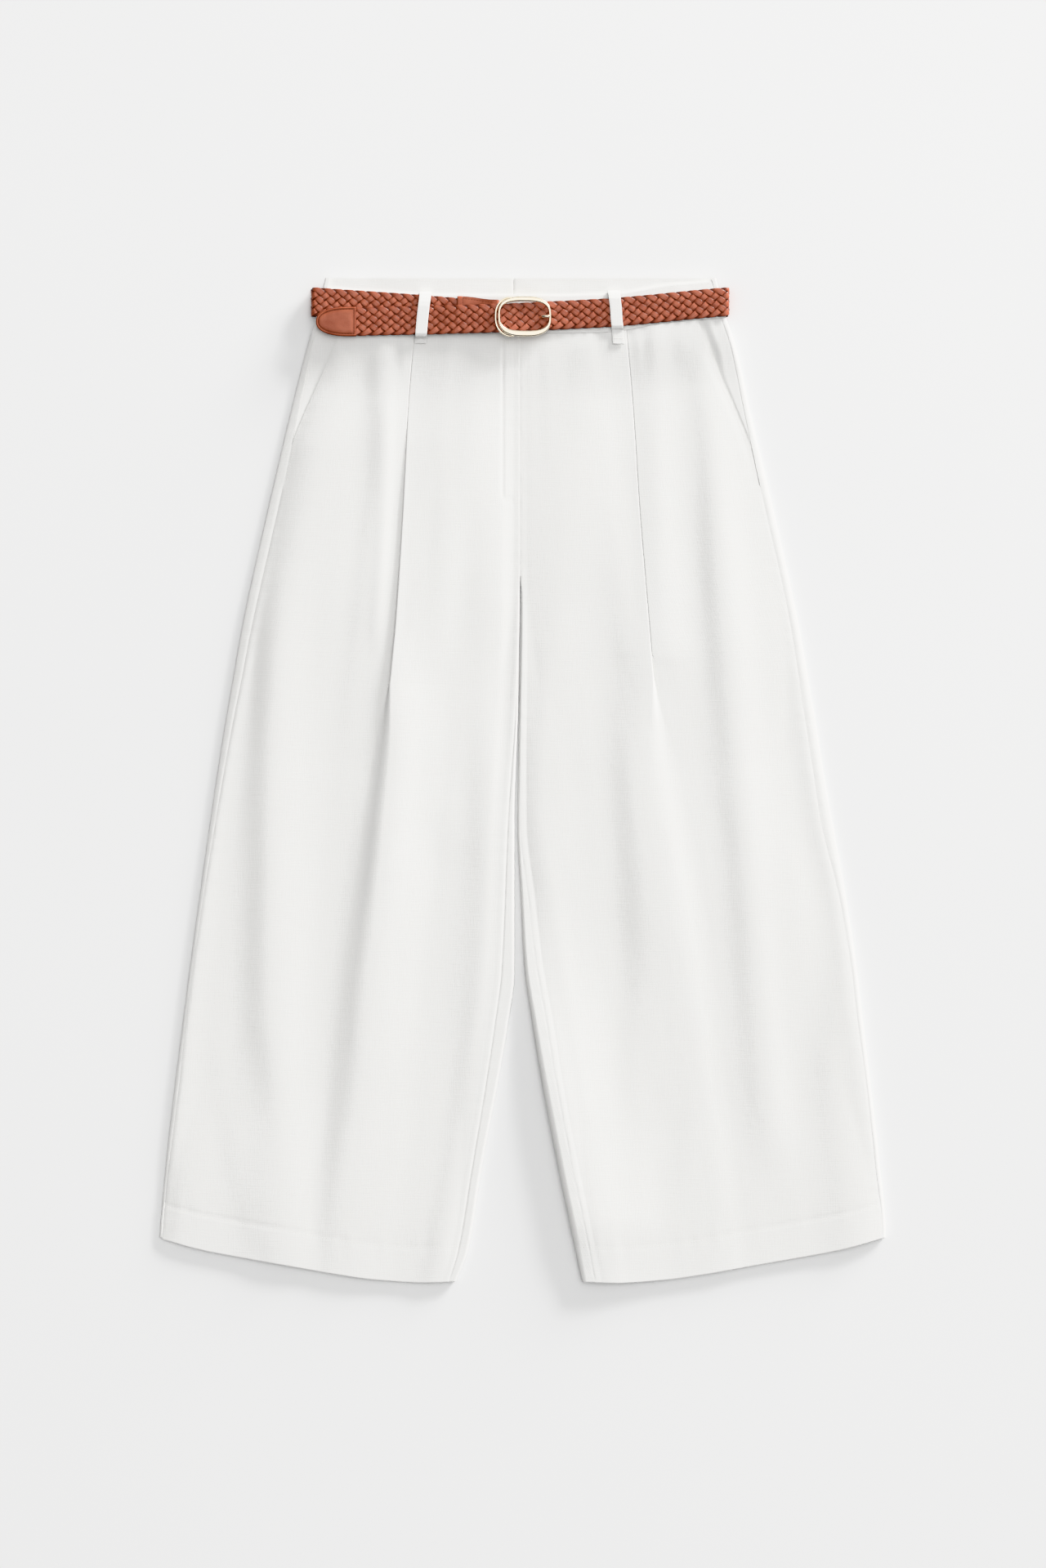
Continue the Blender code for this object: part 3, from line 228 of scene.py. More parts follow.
LEFT_SLOPES = (
    slope(11, (60, 152, 1.0), (90, 152, 3.4), (150, 159, 4.0), (250, 164, 3.6), (300, 166, 2.8),
          (350, 170, 1.9), (400, 173, 1.4), (450, 177, 1.4), (500, 186, 1.3), (600, 195, 0.8),
          (650, 200, 0.5), (720, 208, 0)),
    slope(13, (170, 70, 0), (300, 84, 1.7), (350, 91, 2.2), (450, 92, 2.3), (550, 95, 2.7),
          (600, 96, 2.9), (650, 94, 3.6), (700, 95, 3.2), (760, 100, 1.2), (820, 104, 0)),
    slope(12, (320, 243, 0), (430, 254, 1.5), (500, 268, 1.6), (600, 277, 1.6), (700, 262, 1.7),
          (760, 262, 1.0), (830, 262, 0)),
    slope(5, (50, 137, 1.4), (64, 137, 1.8), (90, 138, 0.9), (120, 139, 0)),
    slope(6, (52, 18, 1.0), (75, 19, 1.5), (110, 21, 1.0), (190, 22, 0)),
    slope(8, (52, 46, 1.0), (75, 46, 1.3), (110, 46, 0.7), (160, 46, 0)),
    slope(4, (54, 169, 1.2), (75, 171, 1.3), (100, 173, 0)),
    slope(9, (700, 150, 0), (770, 140, 1.2), (850, 128, 0)),
)
# How far the front panel stands off the back one between its edges.
Puff = namedtuple("Puff", "drop height outer_fall inner_fall")
RIGHT_PUFF = table(
    Puff,
    (49, 0.4, 18, 70), (75, 1.0, 20, 80), (110, 2.8, 26, 86), (150, 4.0, 30, 90),
    (250, 4.2, 34, 90), (330, 3.0, 34, 80), (430, 2.0, 30, 70), (600, 1.7, 30, 60),
    (760, 1.2, 30, 40), (885, 0.2, 30, 30),
)
LEFT_PUFF = table(
    Puff,
    (49, 0.2, 50, 60), (150, 0.9, 60, 60), (285, 1.5, 60, 50), (330, 2.0, 60, 26),
    (430, 2.5, 60, 16), (520, 2.8, 60, 19), (620, 2.2, 60, 22), (760, 1.3, 50, 26),
    (885, 0.2, 40, 26),
)
BACK_CREASES = table(
    Fold,
    (120, 480, 60, 74, 82, 20, 0.7), (260, 860, 150, 168, 190, 26, 0.9),
    (420, 900, 92, 110, 118, 18, 0.7), (500, 880, 226, 240, 246, 20, 0.7),
    (70, 300, 120, 128, 140, 12, 0.5),
)


# ---- curves and fields
def column(table: tuple, name: str) -> Array:
    """One named column of a table, as an array."""
    return np.array([getattr(row, name) for row in table], dtype=float)


def along(table: tuple, key: str, name: str, at: Array | float) -> Array:
    """Read a table's column at any place, on a smooth curve that never overshoots.

    Cubic Hermite between the rows, with tangents from the harmonic mean of the slopes beside
    each row, and 0 where they change sign.

    Args:
        table: Rows with a key column that only rises.
        key: Name of the key column.
        name: Name of the column that is read.
        at: Places along the key.

    Returns:
        The column's value at each place.
    """
    keys, values = column(table, key), column(table, name)
    steps = np.diff(keys)
    slopes = np.diff(values) / steps
    tangents = np.zeros(len(keys))
    same_way = slopes[:-1] * slopes[1:] > 0
    before, after = slopes[:-1][same_way], slopes[1:][same_way]
    tangents[1:-1][same_way] = 2 * before * after / (before + after)
    tangents[0], tangents[-1] = slopes[0], slopes[-1]
    at = np.clip(np.asarray(at, dtype=float), keys[0], keys[-1])
    span = np.clip(np.searchsorted(keys, at, side="right") - 1, 0, len(steps) - 1)
    width = steps[span]
    t = (at - keys[span]) / width
    return ((1 + 2 * t) * (1 - t) ** 2 * values[span] + t * (1 - t) ** 2 * width * tangents[span]
            + t ** 2 * (3 - 2 * t) * values[span + 1]
            + t ** 2 * (t - 1) * width * tangents[span + 1])


def ease(value: Array | float, low: float, high: float) -> Array:
    """0 below low, 1 above high, with a soft start and end between them: 3t squared - 2t cubed."""
    t = np.clip((np.asarray(value, dtype=float) - low) / (high - low), 0.0, 1.0)
    return t * t * (3 - 2 * t)


def fade(value: Array | float, low: float, high: float) -> Array:
    """1 below low and 0 above high: the rest of ease."""
    return 1 - ease(value, low, high)


def bell(value: Array | float, width: Array | float) -> Array:
    """A Gaussian bell, 1 at 0 and 1/e a width away."""
    return np.exp(-(value / width) ** 2)


def blend(a: Array | float, b: Array | float, weight: Array | float) -> Array:
    """a where the weight is 0, b where it is 1."""
    return a + (b - a) * weight


def loudest(*values: Array) -> Array:
    """A soft maximum: the sixth root of the summed sixth powers."""
    return sum(np.maximum(value, 0.0) ** 6 for value in values) ** (1 / 6)


def ripple(a: Array, b: Array, pitch: tuple[float, float], seed: int) -> Array:
    """Smooth uneven heights from -1 to 1 over two coordinates.

    A fixed lattice of numbers, joined by soft steps in both directions.

    Args:
        a: First coordinate.
        b: Second coordinate.
        pitch: Distance between lattice places along each.
        seed: Picks the lattice.

    Returns:
        The height at each place.
    """
    size = 64
    lattice = np.random.default_rng(seed).uniform(-1, 1, (size, size))
    x, y = np.broadcast_arrays(np.asarray(a) / pitch[0], np.asarray(b) / pitch[1])
    i, j = np.floor(x).astype(int), np.floor(y).astype(int)
    s, t = ease(x - i, 0, 1), ease(y - j, 0, 1)
    i0, i1, j0, j1 = i % size, (i + 1) % size, j % size, (j + 1) % size
    return blend(blend(lattice[i0, j0], lattice[i1, j0], s),
                 blend(lattice[i0, j1], lattice[i1, j1], s), t)


def smooth_path(knots: Array, count: int, closed: bool = False) -> Array:
    """Points evenly spread in parameter on a Catmull-Rom curve through the knots.

    Args:
        knots: The places that the curve passes through.
        count: How many points to give back.
        closed: Whether the last knot joins the first.

    Returns:
        The points, one row each.
    """
    knots = np.asarray(knots, dtype=float)
    if closed:
        padded = np.vstack([knots[-1:], knots, knots[:2]])
        spans = len(knots)
    else:
        padded = np.vstack([2 * knots[0] - knots[1], knots, 2 * knots[-1] - knots[-2]])
        spans = len(knots) - 1
    at = np.linspace(0, spans, count, endpoint=not closed)
    span = np.minimum(at.astype(int), spans - 1)
    t = (at - span)[:, None]
    a, b, c, d = (padded[span + k] for k in range(4))
    return 0.5 * (2 * b + (c - a) * t + (2 * a - 5 * b + 4 * c - d) * t ** 2
                  + (3 * b - a - 3 * c + d) * t ** 3)


def lengths_along(points: Array) -> Array:
    """Distance from the first point to each one, along the last but one axis."""
    steps = np.linalg.norm(np.diff(points, axis=-2), axis=-1)
    return np.concatenate([np.zeros_like(steps[..., :1]), np.cumsum(steps, axis=-1)], axis=-1)


def unit(vectors: Array) -> Array:
    """The same directions at length 1."""
    return vectors / np.maximum(np.linalg.norm(vectors, axis=-1, keepdims=True), 1e-12)


def respaced(path: Array, at: Array) -> Array:
    """Points at given distances along a path, carried straight on beyond its ends."""
    length = lengths_along(path)
    inside = np.stack([np.interp(at, length, path[:, k]) for k in range(path.shape[1])], axis=-1)
    before = np.minimum(at, 0.0)[:, None] * unit(path[1:2] - path[:1])
    after = np.maximum(at - length[-1], 0.0)[:, None] * unit(path[-1:] - path[-2:-1])
    return inside + before + after


def packed_towards_ends(count: int, tightness: float = 1.6) -> Array:
    """Numbers from 0 to 1 that crowd at both ends: a straight line bent by a sine."""
    t = np.linspace(0, 1, count)
    return t - np.sin(2 * np.pi * t) / (2 * np.pi) * (1 - 1 / tightness)


def across_strip(count: int) -> Array:
    """Numbers from -1 to 1 that crowd at both ends as a sine does."""
    return np.sin(np.linspace(-np.pi / 2, np.pi / 2, count))


def world(sign: int, across: Array, drop: Array, height: Array) -> Array:
    """Millimetre places on a leg, as an array of points in metres."""
    across, drop, height = np.broadcast_arrays(across, drop, height)
    return np.stack([sign * across + CENTRE_FRONT_X, LENGTH / 2 - drop, height], axis=-1) * MM


# ---- surfaces and meshes
@dataclass
class Surface:
    """Points with the faces between them, gathered before a mesh is made."""

    points: Array            # one row of x, y, z for each point, in metres
    quads: Array             # faces of four points
    tris: Array = field(default_factory=lambda: np.zeros((0, 3), int))  # faces of three points
    uv: Array | None = None  # pattern coordinates of each point, in metres
    masks: dict[str, Array] = field(default_factory=dict)  # numbers that its material reads
    area: float = 0.0        # area of the middle surface in square metres
    flat: tuple[float, float] = (0.0, 0.0)  # width and length of the sheet as cut, in metres

    def to_mesh(self, name: str) -> bpy.types.Mesh:
        """Turn the arrays into a mesh with its pattern coordinates and masks.

        Args:
            name: The mesh's name.

        Returns:
            The mesh, shaded smooth.
        """
        mesh = bpy.data.meshes.new(name)
        mesh.vertices.add(len(self.points))
        mesh.vertices.foreach_set("co", self.points.astype(np.float32).ravel())
        loops = np.concatenate([self.quads.ravel(), self.tris.ravel()]).astype(np.int32)
        starts = np.concatenate([np.arange(len(self.quads)) * 4,
                                 len(self.quads) * 4 + np.arange(len(self.tris)) * 3])
        mesh.loops.add(len(loops))
        mesh.loops.foreach_set("vertex_index", loops)
        mesh.polygons.add(len(starts))
        mesh.polygons.foreach_set("loop_start", starts.astype(np.int32))
        mesh.update(calc_edges=True)
        mesh.validate()
        if self.uv is not None:
            layer = mesh.uv_layers.new(name="pattern")
            layer.uv.foreach_set("vector", self.uv[loops].astype(np.float32).ravel())
        for mask, values in self.masks.items():
            attribute = mesh.attributes.new(mask, "FLOAT", "POINT")
            attribute.data.foreach_set("value", values.astype(np.float32))
        mesh.shade_smooth()
        return mesh


def joined(surfaces: list[Surface]) -> Surface:
    """Several surfaces as one, with their pattern coordinates."""
    starts = np.cumsum([0] + [len(s.points) for s in surfaces[:-1]])
    return Surface(
        np.concatenate([s.points for s in surfaces]),
        np.concatenate([s.quads + start for s, start in zip(surfaces, starts)]),
        np.concatenate([s.tris + start for s, start in zip(surfaces, starts)]),
        np.concatenate([s.uv for s in surfaces]),
    )


def grid_normals(points: Array) -> Array:
    """Unit normals of a grid: its row direction crossed with its column direction."""
    down, over = np.gradient(points, axis=0), np.gradient(points, axis=1)
    return unit(np.cross(down, over))


def looks_up(points: Array) -> float:
    """1 where a grid's normal at its middle points up, or -1."""
    return 1.0 if grid_normals(points)[len(points) // 2, points.shape[1] // 2, 2] > 0 else -1.0


def grid_area(points: Array) -> float:
    """Area of a grid surface: half the diagonals' cross product, summed over its cells."""
    first = points[1:, 1:] - points[:-1, :-1]
    second = points[1:, :-1] - points[:-1, 1:]
    return float(np.linalg.norm(np.cross(first, second), axis=-1).sum() / 2)


def grid_cells(rows: int, columns: int) -> Array:
    """The numbers of each cell's four corners in a grid of points."""
    index = np.arange(rows * columns).reshape(rows, columns)
    return np.stack([index[:-1, :-1], index[1:, :-1], index[1:, 1:], index[:-1, 1:]], axis=-1)


def shell(points: Array, wall: Array | float, uv: Array, keep: Array | None = None,
          masks: dict[str, Array] | None = None) -> Surface:
    """A closed sheet: a grid moved half a wall along its normals both ways, and rimmed.

    Args:
        points: The middle surface, rows by columns by x, y, z in metres.
        wall: Thickness in millimetres, one number or one for each point.
        uv: Pattern coordinates, rows by columns by 2.
        keep: Which cells of the grid are cloth; all of them where it is left out.
        masks: Named numbers, rows by columns.

    Returns:
        The closed surface, its faces outwards.
    """
    rows, columns = points.shape[:2]
    offset = grid_normals(points) * (np.broadcast_to(wall, (rows, columns))[..., None] * MM / 2)
    corners = grid_cells(rows, columns)
    keep = np.ones((rows - 1, columns - 1), bool) if keep is None else keep
    top = corners[keep]
    under = top[:, ::-1] + rows * columns
    # A kept cell gets a rim wherever the cell beside it isn't kept.
    padded = np.pad(keep, 1)
    beside = (padded[1:-1, :-2], padded[2:, 1:-1], padded[1:-1, 2:], padded[:-2, 1:-1])
    rims = []
    for side, neighbour in enumerate(beside):
        edge = corners[keep & ~neighbour]
        a, b = edge[:, side], edge[:, (side + 1) % 4]
        rims.append(np.stack([b, a, a + rows * columns, b + rows * columns], axis=1))
    quads = np.concatenate([top, under, *rims])
    both = np.concatenate([(points + offset).reshape(-1, 3), (points - offset).reshape(-1, 3)])
    used, quads = np.unique(quads, return_inverse=True)
    flat_uv = np.tile(uv.reshape(-1, 2), (2, 1))[used]
    flat_masks = {name: np.tile(values.ravel(), 2)[used] for name, values in (masks or {}).items()}
    surface = Surface(both[used], quads.reshape(-1, 4), uv=flat_uv, masks=flat_masks)
    surface.area = grid_area(points)
    surface.flat = (float(lengths_along(points).max()),
                    float(lengths_along(points.swapaxes(0, 1)).max()))
    return surface


def tube(rings: Array, uv: Array, closed: bool = False) -> Surface:
    """A closed tube through rings of points.

    Args:
        rings: Rings by points round each ring by x, y, z, in metres.
        uv: Pattern coordinates of each of those points.
        closed: Whether the last ring joins the first; otherwise each end gets a cap.

    Returns:
        The surface, its faces outwards where each ring turns clockwise seen along the path.
    """
    count, around = rings.shape[:2]
    index = np.arange(count * around).reshape(count, around)
    following = np.roll(index, -1, axis=0) if closed else index[1:]
    here = index if closed else index[:-1]
    quads = np.stack([here, np.roll(here, -1, 1), np.roll(following, -1, 1), following],
                     axis=-1).reshape(-1, 4)
    points, flat_uv = rings.reshape(-1, 3), uv.reshape(-1, 2)
    tris = np.zeros((0, 3), int)
    if not closed:
        points = np.concatenate([points, rings[[0, -1]].mean(axis=1)])
        flat_uv = np.concatenate([flat_uv, uv[[0, -1]].mean(axis=1)])
        first, last = index[0], index[-1]
        start, end = np.full(around, count * around), np.full(around, count * around + 1)
        tris = np.concatenate([np.stack([np.roll(first, -1), first, start], axis=1),
                               np.stack([last, np.roll(last, -1), end], axis=1)])
    return Surface(points, quads, tris, flat_uv)


def swept(path: Array, side: Array, up: Array, outline: Array, closed: bool = False) -> Surface:
    """A section carried along a path: path + side * outline x + up * outline y.

    Args:
        path: Points in metres.
        side: Unit vectors to the side at each point.
        up: Unit vectors up at each point.
        outline: The section's points, for each path point or the same for all, in metres.
        closed: Whether the path closes on itself.

    Returns:
        The tube.
    """
    outline = np.broadcast_to(outline, (len(path), *outline.shape[-2:]))
    rings = (path[:, None] + side[:, None] * outline[..., :1] + up[:, None] * outline[..., 1:])
    lengths = np.broadcast_to(lengths_along(path)[:, None], rings.shape[:2])
    uv = np.stack([lengths, outline[..., 0]], axis=-1)
    return tube(rings, uv, closed)


def oval(half_width: float, half_height: float, count: int, power: float = 2.0) -> Array:
    """A section of a rounded rectangle: an ellipse squared off by its power, going clockwise."""
    angles = -np.linspace(0, 2 * np.pi, count, endpoint=False)
    cosine, sine = np.cos(angles), np.sin(angles)
    return np.stack([half_width * np.sign(cosine) * np.abs(cosine) ** (2 / power),
                     half_height * np.sign(sine) * np.abs(sine) ** (2 / power)], axis=-1)


@dataclass(frozen=True)
class Seam:
    """A row of stitches: how far apart they are, how long, how thick, and how deep they sit."""

    pitch: float = 2.7   # from one stitch to the next, mm
    length: float = 2.0  # of one stitch, mm
    radius: float = 0.2  # of the thread, mm
    sink: float = 0.09   # how far the thread's middle lies below the surface, mm

    def row(self, path: Array, up: Array) -> Surface:
        """Stitches along a path, each a small closed spindle with rounded ends.

        Args:
            path: Points on the cloth's face, in metres.
            up: The face's unit normals at them.

        Returns:
            All the row's stitches as one surface.
        """
        length = lengths_along(path)
        total = length[-1]
        count = max(int(total / (self.pitch * MM)), 1)
        at = (np.arange(count) + 0.5) * total / count
        middle = respaced(path, at)
        way = unit(respaced(path, at + 0.4 * MM) - respaced(path, at - 0.4 * MM))
        normal = unit(np.stack([np.interp(at, length, up[:, k]) for k in range(3)], axis=-1))
        side = unit(np.cross(normal, way))
        normal = np.cross(way, side)
        along_ring = np.cos(np.linspace(np.pi, 0, 6))[1:-1]
        angles = -np.linspace(0, 2 * np.pi, 6, endpoint=False)
        radius = np.sqrt(1 - along_ring ** 4)
        ring = np.stack([np.repeat(along_ring * self.length / 2, 6),
                         np.outer(radius, np.cos(angles)).ravel() * self.radius,
                         np.outer(radius, np.sin(angles)).ravel() * self.radius * 0.8], axis=-1)
        ends = np.array([[-self.length / 2, 0, 0], [self.length / 2, 0, 0]])
        spindle = np.concatenate([ring, ends]) * MM
        spindle[:, 2] -= self.sink * MM
        points = (middle[:, None] + spindle[None, :, :1] * way[:, None]
                  + spindle[None, :, 1:2] * side[:, None] + spindle[None, :, 2:] * normal[:, None])
        index = np.arange(24).reshape(4, 6)
        turned = np.roll(index, -1, axis=1)
        quads = np.stack([index[:-1], turned[:-1], turned[1:], index[1:]], -1).reshape(-1, 4)
        tris = np.concatenate([np.stack([turned[0], index[0], np.full(6, 24)], -1),
                               np.stack([index[-1], turned[-1], np.full(6, 25)], -1)])
        starts = (np.arange(count) * len(spindle))[:, None, None]
        uv = np.broadcast_to(spindle[:, :2], (count, len(spindle), 2)) + at[:, None, None]
        return Surface(points.reshape(-1, 3), (quads + starts).reshape(-1, 4),
                       (tris + starts).reshape(-1, 3), uv.reshape(-1, 2))


CLOTH_SEAM = Seam()
FINE_SEAM = Seam(2.3, 1.7, 0.16, 0.05)
BAR_TACK = Seam(0.9, 0.8, 0.22, 0.0)
LEATHER_SEAM = Seam(2.5, 1.9, 0.24, 0.08)


def add_piece(name: str, surface: Surface, material: Material,
              replaces: tuple[str, ...] = (), sharp: float = 48.0) -> bpy.types.Object:
    """Put a surface in the scene as a piece that rides on the garment.

    Args:
        name: The piece's name.
        surface: Its points and faces.
        material: Its finish.
        replaces: The CAD nodes that it stands for.
        sharp: Edges that turn more than this many degrees stay sharp.

    Returns:
        The object, at the origin.
    """
    mesh = surface.to_mesh(name)
    mesh.set_sharp_from_angle(angle=math.radians(sharp))
    mesh.materials.append(material)
    item = bpy.data.objects.new(name, mesh)
    bpy.context.scene.collection.objects.link(item)
    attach(item, "root")
    if replaces:
        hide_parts(*replaces)
    LOG.info("%s: %d faces", name, len(mesh.polygons))
    return item


# ---- finishes
class Nodes:
    """Adds and links shader nodes in one tree."""

    def __init__(self, tree: Tree) -> None:
        """Keep the tree."""
        self.tree = tree

    def add(self, kind: str, inputs: dict | None = None, **settings: object) -> Node:
        """Add a node, set its options, and fill its sockets with values or links.

        Args:
            kind: The node's Blender type.
            inputs: Values or output sockets, by input name or number.
            **settings: The node's options.

        Returns:
            The node.
        """
        node = self.tree.nodes.new(kind)
        for key, value in settings.items():
            setattr(node, key, value)
        for key, value in (inputs or {}).items():
            socket = node.inputs[key]
            if isinstance(value, Socket):
                self.tree.links.new(value, socket)
            else:
                socket.default_value = value
        return node

    def feed(self, node: Node, **values: Socket) -> None:
        """Link values into a node's own sockets, named with _ for a space."""
        for key, value in values.items():
            self.tree.links.new(value, node.inputs[key.replace("_", " ")])

    def math(self, operation: str, *values: object) -> Socket:
        """A Math node's output; values are numbers or sockets."""
        return self.add("ShaderNodeMath", dict(enumerate(values)), operation=operation).outputs[0]

    def times(self, *values: object) -> Socket:
        """The product of two numbers or sockets."""
        return self.math("MULTIPLY", *values)

    def plus(self, *values: object) -> Socket:
        """The sum of two numbers or sockets."""
        return self.math("ADD", *values)

    def scaled(self, value: Socket, by: float, plus: float) -> Socket:
        """The value times a number, plus another."""
        return self.math("MULTIPLY_ADD", value, by, plus)

    def mix(self, weight: object, a: Socket | Colour, b: Socket | Colour) -> Socket:
        """A colour between a and b by weight; colours given as numbers are opaque."""
        a, b = ((*colour, 1.0) if isinstance(colour, tuple) else colour for colour in (a, b))
        return self.add("ShaderNodeMix", {0: weight, 6: a, 7: b}, data_type="RGBA").outputs[2]

    def span(self, value: object, low: float, high: float, to_low: float = 0.0,
             to_high: float = 1.0) -> Socket:
        """A value carried from one range to another and held inside it."""
        return self.add("ShaderNodeMapRange", dict(enumerate((value, low, high, to_low, to_high)))
                        ).outputs[0]

    def noise(self, place: Socket, scale: object, detail: float = 2.0) -> Socket:
        """Soft noise from 0 to 1 at a place."""
        return self.add("ShaderNodeTexNoise", {"Vector": place, "Scale": scale, "Detail": detail}
                        ).outputs[0]

    def stretched(self, place: Socket, scale: Triple) -> Socket:
        """The place, scaled by a number on each axis."""
        return self.add("ShaderNodeMapping", {"Vector": place, "Scale": scale}).outputs[0]

    def bump(self, height: Socket, relief: float) -> Socket:
        """A normal tilted by a height from 0 to 1 that stands for this many metres."""
        return self.add("ShaderNodeBump", {"Distance": relief, "Height": height}).outputs[0]

    def group(self, tree: Tree, place: Socket, **inputs: float) -> list[Socket]:
        """The outputs of a shared group at a place, in their order."""
        return self.add("ShaderNodeGroup", {"Place": place, **inputs}, node_tree=tree).outputs[:]

    def pattern(self) -> Socket:
        """The piece's own pattern map."""
        return self.add("ShaderNodeUVMap", uv_map="pattern").outputs[0]

    def object_place(self) -> Socket:
        """Object coordinates."""
        return self.add("ShaderNodeTexCoord").outputs["Object"]

    def mask(self, name: str) -> Socket:
        """One of the numbers that a mesh's points carry."""
        return self.add("ShaderNodeAttribute", attribute_name=name).outputs["Fac"]


def new_group(name: str, inputs: str, outputs: str) -> tuple[Nodes, dict, Node]:
    """Start a shader node group that works on a place.

    Args:
        name: The group's name.
        inputs: Names of its number inputs, after Place.
        outputs: Names of its number outputs.

    Returns:
        A helper for its nodes, its input sockets by name, and its end node.
    """
    tree = bpy.data.node_groups.new(name, "ShaderNodeTree")
    tree.interface.new_socket(name="Place", in_out="INPUT", socket_type="NodeSocketVector")
    for way, labels in (("INPUT", inputs), ("OUTPUT", outputs)):
        for label in labels.split():
            tree.interface.new_socket(name=label, in_out=way, socket_type="NodeSocketFloat")
    nodes = Nodes(tree)
    return nodes, nodes.add("NodeGroupInput").outputs, nodes.add("NodeGroupOutput")


class Effects:
    """The shader groups that several finishes share, each built once."""

    def __init__(self) -> None:
        """Build every group."""
        self.weave = self._weave()
        self.grain = self._grain()
        self.mottle = self._mottle()

    @staticmethod
    def _weave() -> Tree:
        """Plain weave with slubs.

        Each set of threads is a cosine across it, and a product of cosines at half the rate says
        which set is over. Slubs are noise drawn out along each set.
        """
        n, given, end = new_group("plain_weave", "Pitch Slub", "Height Streak")
        place, pitch = given["Place"], given["Pitch"]
        parts = n.add("ShaderNodeSeparateXYZ", {0: place}).outputs
        wobble = n.times(n.math("SUBTRACT", n.noise(place, 130.0), 0.5), 0.9)
        u, v = (n.plus(n.math("DIVIDE", part, pitch), wobble) for part in parts[:2])

        def cosine(value: Socket, rate: float) -> Socket:
            """A cosine of the value times a rate."""
            return n.math("COSINE", n.times(value, rate))

        warp, weft = (n.scaled(cosine(way, 2 * math.pi), 0.5, 0.5) for way in (u, v))
        over = n.scaled(n.times(cosine(u, math.pi), cosine(v, math.pi)), 0.5, 0.5)
        threads = n.math("MAXIMUM", n.times(warp, n.scaled(over, 0.5, 0.5)),
                         n.times(weft, n.scaled(over, -0.5, 1.0)))
        slubs = (n.span(n.noise(n.stretched(place, scale), 1.0, 3.0), 0.42, 0.72)
                 for scale in ((1150.0, 75.0, 1.0), (62.0, 1250.0, 1.0)))
        streak = n.times(n.plus(*slubs), given["Slub"])
        n.feed(end, Height=n.plus(n.times(threads, 0.45), streak), Streak=streak)
        return n.tree

    @staticmethod
    def _grain() -> Tree:
        """Leather grain: small cells with pores between them, over broader unevenness."""
        n, given, end = new_group("leather_grain", "Scale", "Height Tint")
        place, scale = given["Place"], given["Scale"]
        cells = n.add("ShaderNodeTexVoronoi", {"Vector": place, "Scale": scale},
                      feature="DISTANCE_TO_EDGE").outputs[0]
        fine = n.noise(place, scale, 4.0)
        tint = n.plus(n.times(n.noise(place, 95.0, 3.0), 0.75), n.times(fine, 0.25))
        n.feed(end, Height=n.plus(n.span(cells, 0.0, 0.22), n.times(fine, 0.8)),
               Tint=n.span(tint, 0.3, 0.7))
        return n.tree

    @staticmethod
    def _mottle() -> Tree:
        """Broad, faint unevenness from 0 to 1."""
        n, given, end = new_group("soft_mottle", "Scale", "Mask")
        n.feed(end, Mask=n.span(n.noise(given["Place"], given["Scale"], 4.0), 0.32, 0.68))
        return n.tree


def principled(name: str, **settings: object) -> tuple[Material, Nodes, Node]:
    """A material with its Principled shader.

    Args:
        name: The material's name.
        **settings: Values for the shader's own sockets, with _ for a space.

    Returns:
        The material, a helper for its nodes, and the shader node.
    """
    material = bpy.data.materials.new(name)
    material.use_nodes = True
    shader = material.node_tree.nodes["Principled BSDF"]
    for key, value in settings.items():
        shader.inputs[key.replace("_", " ")].default_value = value
    return material, Nodes(material.node_tree), shader


@dataclass(frozen=True)
class ClothFinish:
    """Woven cloth."""

    name: str
    thread: Colour
    hollow: Colour           # in slubs and faint mottle
    pitch: float = 0.00062   # from thread to thread, m
    slub: float = 0.5        # how uneven the threads are, 0 to 1
    relief: float = 0.00006  # height of its threads, m
    sheen: float = 0.12      # soft fuzz

    def material(self, effects: Effects) -> Material:
        """Build the cloth's material; the threads follow the piece's own pattern map."""
        material, n, shader = principled(self.name, Sheen_Weight=self.sheen, Sheen_Roughness=0.6,
                                         Specular_IOR_Level=0.25)
        place = n.pattern()
        height, streak = n.group(effects.weave, place, Pitch=self.pitch, Slub=self.slub)
        mottle, = n.group(effects.mottle, place, Scale=26.0)
        shade = n.plus(n.times(streak, 0.28), n.times(mottle, 0.09))
        shade = n.math("SUBTRACT", shade, n.times(n.mask("doubled"), 0.2))
        n.feed(shader, Base_Color=n.mix(n.span(shade, 0.0, 1.0), self.thread, self.hollow),
               Roughness=n.span(height, 0.0, 1.2, 0.95, 0.82), Normal=n.bump(height, self.relief))
        return material


@dataclass(frozen=True)
class ThreadFinish:
    """Sewing thread, twisted from two plies."""

    name: str
    crown: Colour
    # painted shade in the grooves between the plies
    groove: Colour

    def material(self) -> Material:
        """Build the thread's material; the twist is a slanted wave on the pattern map, with painted
        shade in its grooves.
        """
        material, n, shader = principled(self.name, Specular_IOR_Level=0.3)
        twist = n.add("ShaderNodeTexWave",
                      {"Vector": n.pattern(), "Scale": 900.0, "Distortion": 1.0},
                      bands_direction="DIAGONAL").outputs[1]
        n.feed(shader, Base_Color=n.mix(twist, self.groove, self.crown),
               Roughness=n.span(twist, 0, 1, 0.85, 0.65), Normal=n.bump(twist, 0.00006))
        return material


